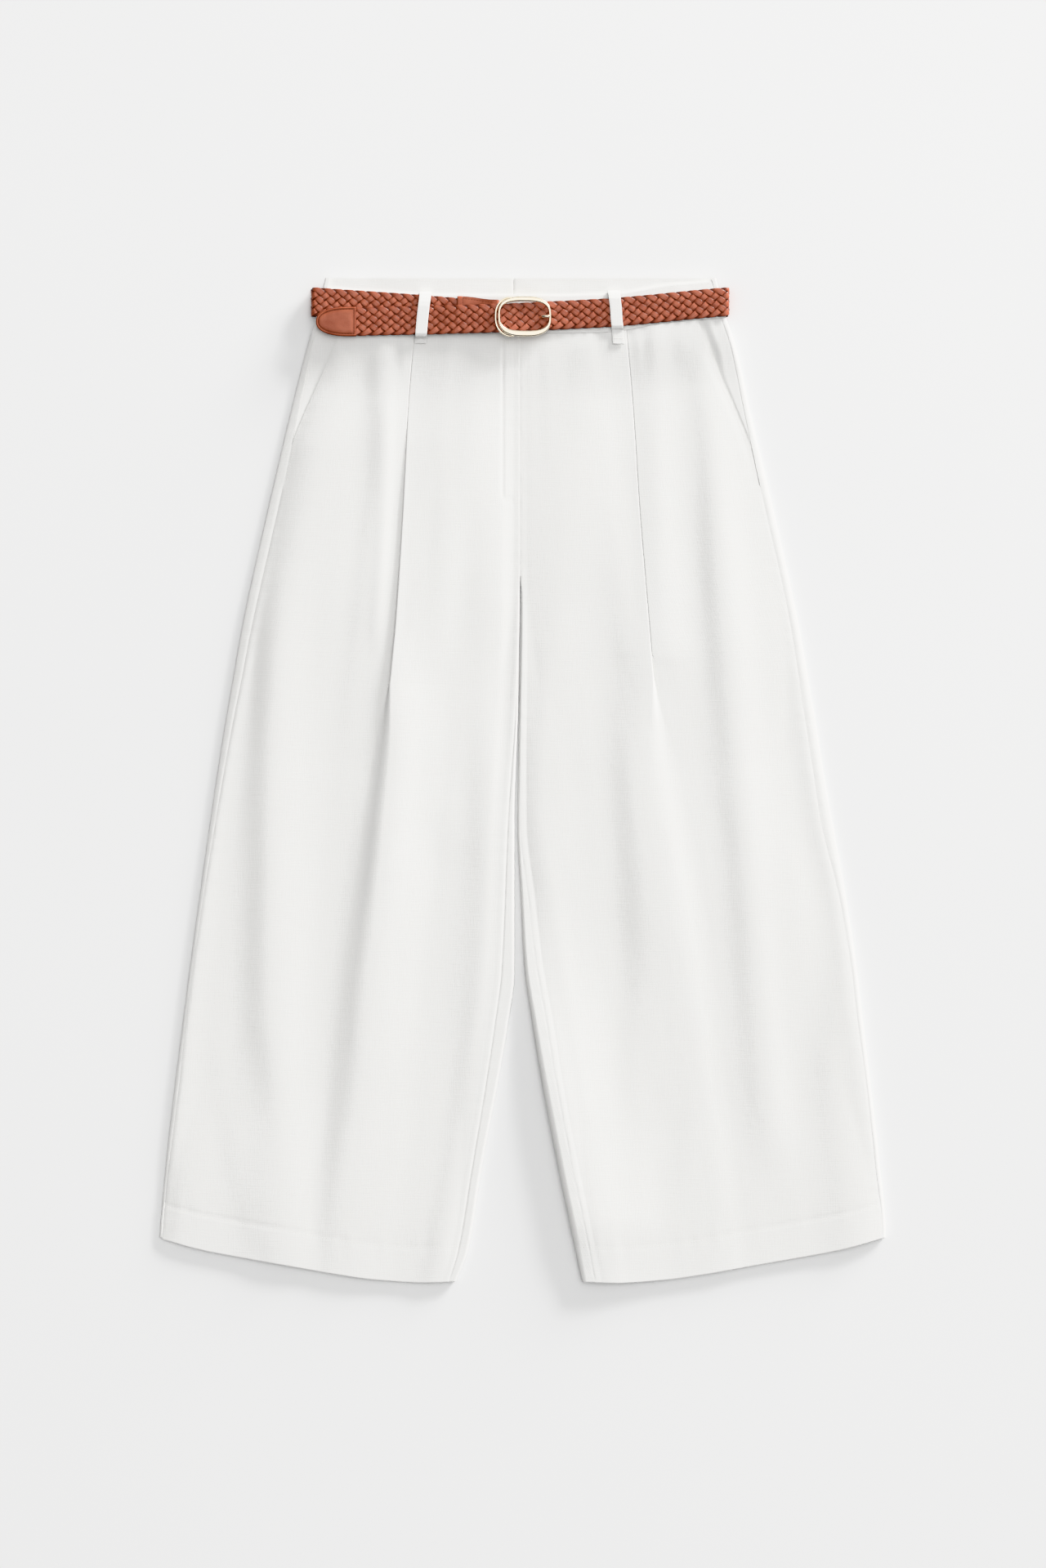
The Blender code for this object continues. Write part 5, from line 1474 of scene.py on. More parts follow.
    def turned_up(self, panel: Panel) -> tuple[Array, Array, Array]:
        """The panel's rows carried on round the hem's fold and up inside it.

        Args:
            panel: The panel as far as its hem.

        Returns:
            Points, pattern coordinates, and a mask that is 1 where the cloth is double.
        """
        points, normal, radius = panel.points, panel.normals(), self.turn_radius * MM
        down = unit(points[-1] - points[-3])
        angles = np.radians(np.linspace(25, 155, 6))[:, None, None]
        bend = (points[-1] + down * np.sin(angles) * radius
                - normal[-1] * (1 - np.cos(angles)) * radius)
        depth = lengths_along(points.swapaxes(0, 1)).T
        depth = depth[-1] - depth
        count = int(np.argmin(np.abs(depth[:, depth.shape[1] // 2] - HEM_DEPTH * MM)))
        inside = points[count:] - normal[count:] * 2 * radius
        inside = inside[::-1]
        whole = np.concatenate([points, bend, inside])
        v = panel.drop * MM
        v_bend = v[-1] + np.linspace(0.0, 1.0, 6)[:, None] * np.pi * radius
        v_inside = v_bend[-1] + depth[count:][::-1]
        u = panel.uv[..., 0]
        uv = np.stack([np.concatenate([u, np.repeat(u[-1:], 6, 0), u[count:][::-1]]),
                       np.concatenate([v, v_bend, v_inside])], axis=-1)
        from_hem = hem_drop(panel.across) - panel.drop
        band = fade(from_hem, HEM_DEPTH - 0.5, HEM_DEPTH + 0.5)
        doubled = np.concatenate([band, np.ones((6, band.shape[1])), band[count:][::-1]])
        return whole, uv, doubled

    def hem_row(self, panel: Panel) -> Surface:
        """The hem's stitches, a hem's depth above its fold."""
        columns = np.linspace(1.0, panel.drop.shape[1] - 2.0, panel.drop.shape[1] * 2)
        across = np.interp(columns, np.arange(panel.across.shape[1]), panel.across[-20])
        path, normal = panel.sample(hem_drop(across) - HEM_DEPTH + 0.8, columns)
        return FINE_SEAM.row(path, normal)

    def build(self, materials: Materials) -> None:
        name = self.form.name
        for side, grid in (("front", self.front_grid), ("back", self.back_grid)):
            panel = grid()
            self.seam_dips(panel, self.form.press[side == "back"])
            if side == "front":
                self.front = panel
            points, uv, doubled = self.turned_up(panel)
            surface = shell(points, SHELL, uv, masks={"doubled": doubled})
            item = add_piece(f"{side}_panel_{name}", surface, materials.cloth,
                             (f"{side}_leg_{name}", f"hem_{side}_{name}"), 60.0)
            row = add_piece(f"{side}_hem_stitches_{name}", self.hem_row(panel), materials.thread)


# ---- pockets
@dataclass
class Pocket:
    """The hip facing behind the slanted edge, the bag inside, and the edge's stitches."""

    form: LegForm
    panels: LegPanels
    stitch_inset: float = 2.2  # from the pocket's edge to its stitches, mm
    middle: float = 150.0      # place across where its rows keep their nominal drops, mm

    def rows(self, bottom: float) -> tuple[Array, float, Array]:
        """Nominal drops as a column, the first of them, and how far each follows the waist."""
        top = float(self.form.seam_drop(self.middle))
        nominal = np.linspace(top, bottom, 60)[:, None]
        return nominal, top, fade(nominal, 40, 110)

    def facing(self) -> Array:
        """Middle surface of the hip facing."""
        form = self.form
        nominal, top, near_top = self.rows(190.0)
        side_drop = nominal + (form.seam_drop(WAIST_SIDE) - top) * near_top
        seam = form.side_seam(side_drop) - 0.05
        pocket = np.minimum(along(POCKET_EDGE, "drop", "across", nominal), seam)
        room = seam - pocket
        across = blend(seam, pocket - FACING_UNDERLAP, packed_towards_ends(26, 2.2))
        drops = nominal + (form.seam_drop(across) - top) * near_top
        front = form.front_height(across, drops, folds=False)
        open_top = form.gape * fade(drops, 62, 88)
        under = np.maximum(front - 0.85 - open_top, back_height(drops) + LAYER)
        reach = np.maximum(room * (0.7 if form.sign < 0 else 0.3), 2.2)
        lifted = ease(across - pocket, 0.5 + open_top, reach + 3 * open_top)
        height = blend(under, front - 0.1, lifted * form.facing_lift)
        height = height - 0.2 * bell(seam - across, 0.8) * ease(room, 4.0, 8.0)
        return world(form.sign, across, drops, height)

    def bag(self) -> Array:
        """Middle surface of the pocket bag."""
        form = self.form
        nominal, top, near_top = self.rows(POCKET_BOTTOM)
        seam = form.side_seam(nominal) - GAP / 2
        pocket = np.minimum(along(POCKET_EDGE, "drop", "across", nominal), seam)
        outer = blend(pocket - FACING_UNDERLAP - 1.2, seam - 9, ease(nominal, 193, 224))
        corner = ease(nominal, POCKET_BOTTOM - 34, POCKET_BOTTOM) ** 2
        across = blend(outer - 22 * corner, POCKET_INNER + 2 + 26 * corner, np.linspace(0, 1, 20))
        drops = nominal + (form.seam_drop(across) - top) * near_top
        height = form.front_height(across, drops, folds=False) - LAYER - 0.25
        return world(form.sign, across, drops, height)

    def edge_stitches(self) -> Surface:
        """Stitches beside the pocket's edge."""
        panel = self.panels.front
        length = lengths_along(panel.points) / MM
        rows = np.flatnonzero((panel.drop[:, 0] > 51) & (panel.drop[:, 0] < POCKET_EDGE_END - 3))
        columns = np.array([np.interp(self.stitch_inset, length[r], np.arange(length.shape[1]))
                            for r in rows])
        path, normal = panel.sample(panel.drop[rows, 0], columns)
        return FINE_SEAM.row(path, normal)

    def build(self, materials: Materials) -> None:
        name = self.form.name
        for part, points, wall, material, slot in (
                ("facing", self.facing(), SHELL, materials.cloth, Slot.CLOTH),
                ("bag", self.bag(), 0.5, materials.pocketing, Slot.POCKETING)):
            uv = points[..., :2]
            surface = shell(points, wall, uv)
            item = add_piece(f"pocket_{part}_cloth_{name}", surface, material,
                             (f"pocket_{part}_{name}",))
        add_piece(f"pocket_stitches_{name}", self.edge_stitches(), materials.thread)


# ---- fly
@dataclass
class Fly:
    """Fly facing, zip tape with its coil, and the shield, under the fronts."""

    panels: LegPanels            # the right leg's panels, whose face carries the fly's stitches
    curve_bottom: float = 198.0  # drop where the line reaches the centre front, mm
    coil_pitch: float = 1.5      # from tooth to tooth, mm

    def strip(self, start: float, end: float, bottom: float, layers: float) -> Array:
        """Middle surface of a strip under the fronts.

        Args:
            start: Its edge on the wearer's right, mm from the centre, below 0.
            end: Its other edge, mm.
            bottom: Drop of its foot, mm.
            layers: How many layers below the fronts it lies.

        Returns:
            The grid, in metres.
        """
        drops, across = np.meshgrid(np.linspace(FLY_TOP, bottom, 50),
                                    np.linspace(start, end, 12), indexing="ij")
        right = RIGHT.front_height(np.abs(across), drops, folds=False)
        left = LEFT.front_height(np.abs(across), drops, folds=False)
        return world(1, across, drops, np.minimum(right, left) - layers * LAYER)

    def coil(self) -> Surface:
        """The zip's teeth: short bars across the tape's middle, alternately left and right."""
        count = int((FLY_BOTTOM - 10 - FLY_TOP) / self.coil_pitch)
        drops = FLY_TOP + 2 + self.coil_pitch * np.arange(count)
        path_x = np.linspace(-1.6, 1.6, 3)[:, None] + np.where(np.arange(count) % 2, 0.5, -0.5)
        heights = RIGHT.front_height(np.abs(path_x), drops, folds=False) - LAYER + 0.32
        middle = world(1, path_x, drops, heights).transpose(1, 0, 2)
        outline = oval(0.42 * MM, 0.24 * MM, 6, 2.4)
        along_bar = unit(middle[:, -1:] - middle[:, :1])
        up = np.broadcast_to(np.array([0.0, 0.0, 1.0]), along_bar.shape)
        side_way = unit(np.cross(along_bar, up))
        return joined([swept(m, np.repeat(s, 3, 0), np.repeat(u, 3, 0), outline)
                       for m, s, u in zip(middle, side_way, up)])

    def stitches(self) -> Surface:
        """The J line, straight down and then round to the centre front."""
        drops = np.concatenate([np.linspace(50.0, FLY_CORNER, 56),
                                np.linspace(FLY_CORNER + 0.4, self.curve_bottom, 16)])
        t = np.clip((drops - FLY_CORNER) / (self.curve_bottom - FLY_CORNER), 0, 1)
        across = blend(FLY_LINE, 0.7, t ** 1.5)
        panel = self.panels.front
        return CLOTH_SEAM.row(*panel.sample(drops, panel.column_at(across, drops)))

    def build(self, materials: Materials) -> None:
        """Make the fly's layers and its stitches."""
        pieces = (
            ("fly_facing_cloth", "fly_facing", -FLY_WIDTH, -ZIP_HALF_WIDTH - GAP, FLY_BOTTOM, 1,
             materials.cloth, Slot.CLOTH),
            ("fly_zip_tape", "fly_zip", -ZIP_HALF_WIDTH, ZIP_HALF_WIDTH, FLY_BOTTOM - 6, 1,
             materials.zip_tape, Slot.ZIP_TAPE),
            ("fly_shield_cloth", "fly_shield", 3 - FLY_WIDTH, ZIP_HALF_WIDTH + 4, FLY_BOTTOM, 2,
             materials.cloth, Slot.CLOTH),
        )
        teeth = add_piece("fly_zip_coil", self.coil(), materials.thread)
        for name, node, start, end, bottom, layers, material, slot in pieces:
            points = self.strip(start, end, bottom, layers)
            surface = shell(points, 0.6, points[..., :2])
            item = add_piece(name, surface, material, (node,))
        add_piece("fly_stitches", self.stitches(), materials.thread)


# ---- waistband and loops
@dataclass
class Waistband:
    """One leg's half of the waistband, front and back."""

    form: LegForm

    @staticmethod
    def rows() -> Array:
        """Distances down from the band's top edge, crowded at both edges, as a column."""
        close = np.array([0.0, 0.5, 1.2])
        return np.concatenate([close, np.linspace(2.2, WAISTBAND_WIDTH - 2.2, 24),
                               WAISTBAND_WIDTH - close[::-1]])[:, None]

    def front(self) -> Array:
        """Middle surface of the front half, its top edge a little uneven."""
        form = self.form
        down = self.rows()
        end = form.side_seam(form.waist_drop(176.0) + down) - 0.05
        across = blend(0.06, end, packed_towards_ends(110, 1.5))
        drop = form.waist_drop(across) + down
        waver = ripple(across, 0.0, (19, 1), form.seed + 5)
        drop = drop + 0.3 * waver * (1 - down / WAISTBAND_WIDTH)
        height = FRONT_BAND + 0.22 * ripple(across, down, (15, 13), form.seed + 6)
        height = height - 0.4 * bell(down, 0.8)
        height = height - 0.15 * bell(WAISTBAND_WIDTH - down, 0.9)
        height = height - 0.15 * bell(across, 0.9)
        return world(form.sign, across, drop, height)

    def back(self) -> Array:
        """Middle surface of the back half, rolled over to the side seam."""
        form = self.form
        down = self.rows()
        radius = (FRONT_BAND - BACK_BAND) / 2
        seam = form.side_seam(down) + 0.03
        outer = form.level("outer", down) - WAISTBAND_WALL / 2
        angles = np.radians(np.linspace(90, -90, 13))
        strip = blend(seam, outer - radius, np.array([0.0, 0.15, 0.45]))
        flat = blend(outer - radius, form.centre_back(down), packed_towards_ends(100, 1.5)[1:])
        across = np.hstack([strip, outer - radius + radius * np.cos(angles), flat])
        rolled = np.broadcast_to(BACK_BAND + radius + radius * np.sin(angles),
                                 (len(down), len(angles)))
        lying = BACK_BAND + 0.2 * ripple(flat, down, (17, 12), form.seed + 8)
        lying = lying - 0.3 * bell(flat - flat[:, -1:], 0.8)
        height = np.hstack([np.full((len(down), 3), FRONT_BAND), rolled, lying])
        waver = ripple(across, 0.0, (23, 1), form.seed + 9)
        drop = down + 0.35 * waver * (1 - down / WAISTBAND_WIDTH)
        return world(form.sign, across, np.maximum(drop, 0.0), height)

    @staticmethod
    def stitches(points: Array, rows: tuple[int, ...]) -> Surface:
        """Stitches along some rows of a band's middle surface, on the face that looks up."""
        normal = grid_normals(points) * looks_up(points)
        face = points + normal * WAISTBAND_WALL / 2 * MM
        return joined([CLOTH_SEAM.row(face[row, 2:-2], normal[row, 2:-2]) for row in rows])

    def build(self, materials: Materials) -> None:
        name = self.form.name
        for side, points in (("front", self.front()), ("back", self.back())):
            surface = shell(points, WAISTBAND_WALL, points[..., :2])
            item = add_piece(f"waistband_{side}_cloth_{name}", surface, materials.band,
                             (f"waistband_{side}_{name}",), 60.0)
            row = add_piece(f"waistband_{side}_stitches_{name}",
                            self.stitches(points, (3, -4)), materials.thread)


LoopPoint = namedtuple("LoopPoint", "drop height")
FRONT_LOOP_RIGHT = table(
    LoopPoint,
    (12.6, 6.3), (12.7, 9.0), (14.0, 11.6), (17.6, 13.2), (21.2, 14.4), (25.4, 14.9),
    (49.4, 14.8), (51.6, 14.1), (52.4, 10.2), (54.0, 9.1), (57.6, 9.0),
)
FRONT_LOOP_LEFT = table(
    LoopPoint,
    (11.3, 6.3), (11.4, 8.0), (12.8, 9.4), (15.4, 10.6), (18.2, 11.4), (42.2, 11.4),
    (44.4, 10.7), (45.4, 9.4), (48.0, 9.0), (58.0, 9.0),
)
BACK_LOOP = table(
    LoopPoint,
    (1.2, 3.8), (4.8, 3.7), (6.6, 2.9), (7.2, 1.2), (8.4, 0.66), (33.6, 0.66), (35.0, 1.2),
    (35.8, 2.4), (37.0, 2.8), (41.0, 2.6),
)


@dataclass(frozen=True)
class BeltLoop:
    """A strip of folded cloth carried over or under the belt, and tacked at its foot."""

    node: str        # the CAD node that it stands for
    path: tuple      # its side view
    width: float     # of the strip, mm
    top_x: float     # its middle at its head, mm
    bottom_x: float  # its middle at its foot, mm
    band: str        # the waistband half that carries it

    def grid(self) -> Array:
        """Middle surface: the path rounded at its corners, with the strip's faint curl."""
        knots = np.stack([column(self.path, "drop"), column(self.path, "height")], axis=-1)
        total = lengths_along(knots)[-1]
        fine = respaced(knots, np.linspace(0, total, 241))
        kernel = np.exp(-np.linspace(-2, 2, 9) ** 2)
        kernel = kernel / kernel.sum()
        padded = np.pad(fine, ((4, 4), (0, 0)), mode="edge")
        soft = np.stack([np.convolve(padded[:, k], kernel, "valid") for k in (0, 1)], -1)[::2]
        lean = (soft[:, :1] - soft[0, 0]) / (soft[-1, 0] - soft[0, 0])
        middle = blend(self.top_x, self.bottom_x, lean)
        t = np.linspace(-0.5, 0.5, 15)
        wander = 0.12 * ripple(soft[:, :1], 0.0, (9, 1), 31 + int(self.width * 10))
        across = middle + (t + wander * 0.3) * self.width
        return world(1, across, soft[:, :1], soft[:, 1:])

    def build(self, materials: Materials) -> None:
        """Make the strip, its edge stitches and its tack."""
        points = self.grid()
        t = np.abs(np.linspace(-1, 1, points.shape[1]))
        wall = LOOP_WALL * np.sqrt(1 - 0.55 * t ** 8) * np.ones((len(points), 1))
        surface = shell(points, wall, points[..., :2])
        item = add_piece(f"{self.node}_cloth", surface, materials.band, (self.node,),
                         60.0)
        outward = -1.0 if self.path is BACK_LOOP else 1.0
        normal = grid_normals(points) * outward * looks_up(points)
        face = points + normal * (wall / 2 * MM)[..., None]
        tack_row = len(points) - 12
        rows = [FINE_SEAM.row(face[3:-3, k], normal[3:-3, k]) for k in (2, -3)]
        rows.append(BAR_TACK.row(face[tack_row, 2:-2], normal[tack_row, 2:-2]))
        row = add_piece(f"{self.node}_stitches", joined(rows), materials.thread)


LOOPS = tuple(
    BeltLoop(f"belt_loop_{place}", path, width, top_x, bottom_x, f"waistband_{band}")
    for place, path, width, top_x, bottom_x, band in (
        ("front_right", FRONT_LOOP_RIGHT, 10.2, -83.4, -88.2, "front_right"),
        ("front_left", FRONT_LOOP_LEFT, 10.4, 82.2, 86.4, "front_left"),
        ("back_right", BACK_LOOP, 10.2, -143.0, -144.0, "back_right"),
        ("back_centre", BACK_LOOP, 10.2, -7.0, -7.0, "back_right"),
        ("back_left", BACK_LOOP, 10.2, 156.0, 155.0, "back_left"),
    )
)


# ---- belt
StrapPoint = namedtuple("StrapPoint", "x drop height")
STRAP_TOP_RUN = table(
    StrapPoint,
    (-144.2, 38.9, OVER_RUN), (-118.0, 38.3, OVER_RUN), (-93.0, 37.8, OVER_RUN),
    (-76.0, 37.5, 12.5), (-61.0, 37.1, 13.4), (-52.0, 36.9, 13.9), (-38.0, 36.5, 14.1),
    (-22.0, 36.0, 14.5), (-12.0, 35.6, 13.9), (2.0, 34.9, 12.3), (14.0, 34.2, 11.1),
    (26.0, 33.4, 10.2), (42.0, 32.6, 9.3), (60.0, 31.6, FRONT_RUN), (84.0, 30.2, FRONT_RUN),
    (120.0, 26.9, FRONT_RUN), (152.0, 23.6, FRONT_RUN),
)
STRAP_UNDER_RUN = table(
    StrapPoint,
    (-150.0, 23.2, FRONT_RUN), (-110.0, 25.9, FRONT_RUN), (-80.0, 28.2, FRONT_RUN),
    (-53.8, 30.6, FRONT_RUN),
)


@dataclass
class BraidedStrap:
    """A flat braid of leather strands, each passing over one and under the next."""

    strands: int = 7              # how many strands there are
    lay: float = 9.9              # from one crossing to the next along the belt, in one row, mm
    swing: float = 11.0           # how far a strand's middle moves to each side, mm
    softness: float = 0.95        # how sharply it turns at the sides, up to 1
    strand_width: float = 5.7     # mm
    strand_wall: float = 1.25     # mm
    rise: float = 0.6             # how far a strand's middle moves out and in of the belt's, mm
    step: float = 0.9             # from ring to ring along a strand, mm
    around: int = 12              # points round a strand
    left_turn_x: float = 179.6    # middle of the half turn at the left side, mm
    right_turn_x: float = -180.3  # the same at the right side
    turn_drop: float = 21.1       # drop of the belt at both turns and behind, mm

    def middle_line(self) -> Array:
        """The strap's middle line: over run, left turn, back run, right turn, under run, in m."""
        radius, middle = (FRONT_RUN - BACK_RUN) / 2, (FRONT_RUN + BACK_RUN) / 2

        def half_turn(x: float, angles: Array) -> Array:
            """Half a circle about a side of the waist."""
            side = np.sign(x)
            return np.stack([x + side * radius * np.cos(angles),
                             np.full(len(angles), self.turn_drop),
                             middle + radius * np.sin(angles)], axis=-1)

        down = np.radians(np.linspace(90, -90, 33))
        back_x = np.linspace(150, -150, 31)
        back = np.stack([back_x, np.full(31, self.turn_drop), np.full(31, BACK_RUN)], axis=-1)
        knots = np.concatenate([smooth_path(STRAP_TOP_RUN, 161), half_turn(self.left_turn_x, down),
                                back, half_turn(self.right_turn_x, -down),
                                smooth_path(STRAP_UNDER_RUN, 41)])
        return world(1, *knots.T)

    def strand(self, number: int) -> tuple[Surface, Array]:
        """One strand of the braid.

        Its place across is a triangle wave softened at its ends, as an arcsine of a cosine; its
        rise is a cosine that turns once for every two crossings, held through the turns.

        Args:
            number: Which strand, from 0.

        Returns:
            Its surface, and how raised each point is, from 0 to 1.
        """
        line = self.middle_line()
        total = lengths_along(line)[-1]
        at = np.arange(-2.6 * MM, total + 1.4 * MM, self.step * MM)
        turn = 2 * self.strands
        count = (at / MM / self.lay * 2 + 2 * number) % turn
        sway = np.arcsin(self.softness * np.cos(np.pi * count / self.strands))
        sway = sway / np.arcsin(self.softness)
        crossings = np.interp(
            count, [-1, 1, self.strands - 1, self.strands + 1, turn - 1, turn + 1],
            [-1, 0, self.strands - 2, self.strands - 1, turn - 3, turn - 2])
        lift = np.cos(np.pi * crossings)
        lift = lift * (1.4 - 0.4 * lift ** 2)
        centre = respaced(line, at)
        forward = unit(np.gradient(centre, axis=0))
        wide = unit(np.cross(forward, np.cross([0.0, 1.0, 0.0], forward)))
        out = np.cross(forward, wide)
        path = (centre + wide * (self.swing * MM * sway)[:, None]
                + out * (self.rise * MM * lift)[:, None])
        way = unit(np.gradient(path, axis=0))
        side = unit(np.cross(out, way))
        up = np.cross(way, side)
        beside_turn = np.minimum(np.minimum(count, turn - count), np.abs(count - self.strands))
        narrow = 1 - 0.42 * fade(beside_turn, 0.0, 0.9)
        section = oval(self.strand_width / 2 * MM, self.strand_wall / 2 * MM, self.around, 3.4)
        section = section[None] * np.stack([narrow, np.ones_like(narrow)], -1)[:, None]
        surface = swept(path, side, up, section)
        # How high each point stands in the braid; the material paints shade where it is low.
        ring_lift = lift[:, None] * self.rise + section[..., 1] / MM
        raised = ease(ring_lift, -0.1, 1.05)
        raised = np.concatenate([raised.ravel(), [0.3, 0.3]])
        surface.uv[:, 0] += 0.37 * number
        return surface, raised

    def build(self, materials: Materials) -> None:
        """Make all the strands as one piece."""
        parts = [self.strand(k) for k in range(self.strands)]
        surface = joined([part[0] for part in parts])
        raised = np.concatenate([part[1] for part in parts])
        # The edge mask darkens each strand's sides: partly its cut edge, partly painted shade in
        # the gaps between strands.
        across = np.abs(surface.uv[:, 1]) / (self.strand_width / 2 * MM)
        surface.masks = {"raised": raised, "edge": ease(across, 0.55, 1.0)}
        add_piece("belt_braid", surface, materials.strand, ("belt_strap",), 80.0)


@dataclass
class BeltLeather:
    """The smooth leather parts: the stitched tip, the chape round the buckle, and the keeper."""

    tip_x: float = -144.4      # the tip's straight end, mm
    tip_drop: float = 38.9     # its middle, mm
    tip_length: float = 35.4   # from that end to its point, mm
    tip_straight: float = 6.0  # how far its sides run straight, mm
    tip_half: float = 13.0     # half its width, mm
    tip_height: float = 12.7   # height of its middle, mm
    stitch_inset: float = 2.1  # from an edge to its stitches, mm

    def tip_outline(self, inset: float = 0.0) -> Array:
        """Half the tip's outline: straight, then a blunt half ellipse, as x and half width."""
        angles = np.linspace(0, np.pi / 2 - 0.01, 40)
        length = self.tip_length - self.tip_straight - inset
        half = self.tip_half - inset
        rounded = np.stack([-self.tip_straight - length * np.sin(angles) ** 0.86,
                            half * np.cos(angles) ** 0.86], -1)
        straight = np.stack([np.linspace(-inset, -self.tip_straight - 0.2, 8)[:-1],
                             np.full(7, half)], -1)
        return np.concatenate([straight, rounded])

    def tip(self) -> tuple[Surface, Surface]:
        """The tip, its edges rounded and its stitch line pressed in, and its stitches."""
        outline = self.tip_outline()
        t = across_strip(41)
        x = np.broadcast_to(outline[:, :1], (len(outline), len(t)))
        y = outline[:, 1:] * t
        rim = np.concatenate([outline, outline[::-1] * [1, -1]])
        ends = np.stack([np.zeros(41), np.linspace(-self.tip_half, self.tip_half, 41)], -1)
        rim = np.concatenate([rim, ends])
        far = np.sqrt((x[..., None] - rim[:, 0]) ** 2 + (y[..., None] - rim[:, 1]) ** 2).min(-1)
        groove = bell(far - self.stitch_inset, 0.55)
        wall = 3.2 - 1.5 * bell(far, 0.6) - 0.8 * groove
        wall = wall + 0.5 * ease(far, 2.4, 6.0) + 0.14 * ripple(x, y, (7, 6), 51)
        height = self.tip_height + 0.25 * np.cos(x / 9.0)
        points = world(1, self.tip_x + x, self.tip_drop - y, height)
        surface = shell(points, wall, points[..., :2], masks={
            "edge": np.maximum(bell(far, 0.35), 0.75 * groove),
            "raised": ease(far, 0.5, 5.0) * 0.8})
        inner = self.tip_outline(self.stitch_inset)
        loop = np.concatenate([inner, inner[::-1] * [1, -1], inner[:1]])
        at = self.tip_height + 0.25 * np.cos(loop[:, 0] / 9.0) + 1.3
        path = world(1, self.tip_x + loop[:, 0], self.tip_drop - loop[:, 1], at)
        up = np.broadcast_to([0.0, 0.0, 1.0], path.shape)
        return surface, LEATHER_SEAM.row(path, up)

    def chape(self) -> tuple[Surface, Surface]:
        """The chape: two lying layers joined round the buckle's bar, with the prong's slot."""
        start, heel_x, heel_height, turn = -51.6, -21.0, 10.4, 1.7
        angles = np.radians(np.linspace(-90, 90, 9))
        bend = np.stack([heel_x + turn * np.cos(angles), heel_height + turn * np.sin(angles)], -1)
        under = np.array([(start, 8.1), (-44.0, 8.1), (-36.0, 8.1), (-27.0, 8.15), (-24.0, 8.3)])
        over = np.array([(-23.4, 11.9), (-27.0, 11.1), (-31.0, 10.3), (-36.0, 9.7), (-44.0, 9.6),
                         (start, 9.6)])
        path = smooth_path(np.concatenate([under, bend, over]), 170)
        x, height = path[:, :1], path[:, 1:]
        narrowing = ease(x, start, heel_x)
        half, middle = blend(13.4, 14.0, narrowing), blend(29.8, 33.6, narrowing)
        t = across_strip(45)
        points = world(1, x, middle + half * t, height)
        from_edge = half * (1 - np.abs(t))
        wall = 1.0 - 0.45 * bell(from_edge, 0.4)
        wall = wall - 0.2 * bell(from_edge - self.stitch_inset, 0.4)
        cell = (points[:-1, :-1] + points[1:, 1:]) / 2 / MM
        drop = LENGTH / 2 - cell[..., 1]
        keep = ~((cell[..., 0] - CENTRE_FRONT_X > -27.5) & (np.abs(drop - 35.8) < 1.7))
        surface = shell(points, wall, points[..., :2], keep, {
            "edge": bell(from_edge, 0.5) * np.ones_like(x),
            "raised": np.full(from_edge.shape, 0.5)})
        upper = (path[:, 0] < -24) & (np.arange(len(path)) > len(path) // 2)
        normal = grid_normals(points)
        normal = normal * np.sign(normal[-1, len(t) // 2, 2])
        stitch = int(np.abs(from_edge[-1, :20] - self.stitch_inset).argmin())
        rows = [LEATHER_SEAM.row(points[upper, k] + normal[upper, k] * 0.42 * MM, normal[upper, k])
                for k in (stitch, len(t) - 1 - stitch)]
        return surface, joined(rows)

    @staticmethod
    def keeper() -> Surface:
        """The small fixed keeper: a band that arches over the strap's end."""
        knots = np.array([(16.8, 8.2), (16.7, 9.4), (16.9, 10.5), (18.2, 11.3), (24.0, 11.5),
                          (31.0, 11.5), (38.0, 11.5), (42.9, 11.3), (44.3, 10.5), (44.5, 9.4),
                          (44.4, 8.2)])
        path = smooth_path(knots, 90)
        t = across_strip(15)
        points = world(1, -53.2 + 2.4 * t, path[:, :1], path[:, 1:])
        wall = 1.0 - 0.5 * bell((1 - np.abs(t)) * 2.4, 0.4)
        edge = np.broadcast_to(bell((1 - np.abs(t)) * 2.4, 0.4), points.shape[:2])
        return shell(points, np.broadcast_to(wall, points.shape[:2]), points[..., :2],
                     masks={"edge": edge, "raised": np.full(points.shape[:2], 0.6)})

    def build(self, materials: Materials) -> None:
        """Make the three leather parts and their stitches."""
        for name, node, (surface, stitches) in (("belt_tip_leather", "belt_tip", self.tip()),
                                                ("belt_chape_leather", "belt_chape", self.chape())):
            add_piece(name, surface, materials.leather, (node,))
            add_piece(name + "_stitches", stitches, materials.tan_thread)
        add_piece("belt_keeper_leather", self.keeper(), materials.leather,
                  ("belt_keeper",))


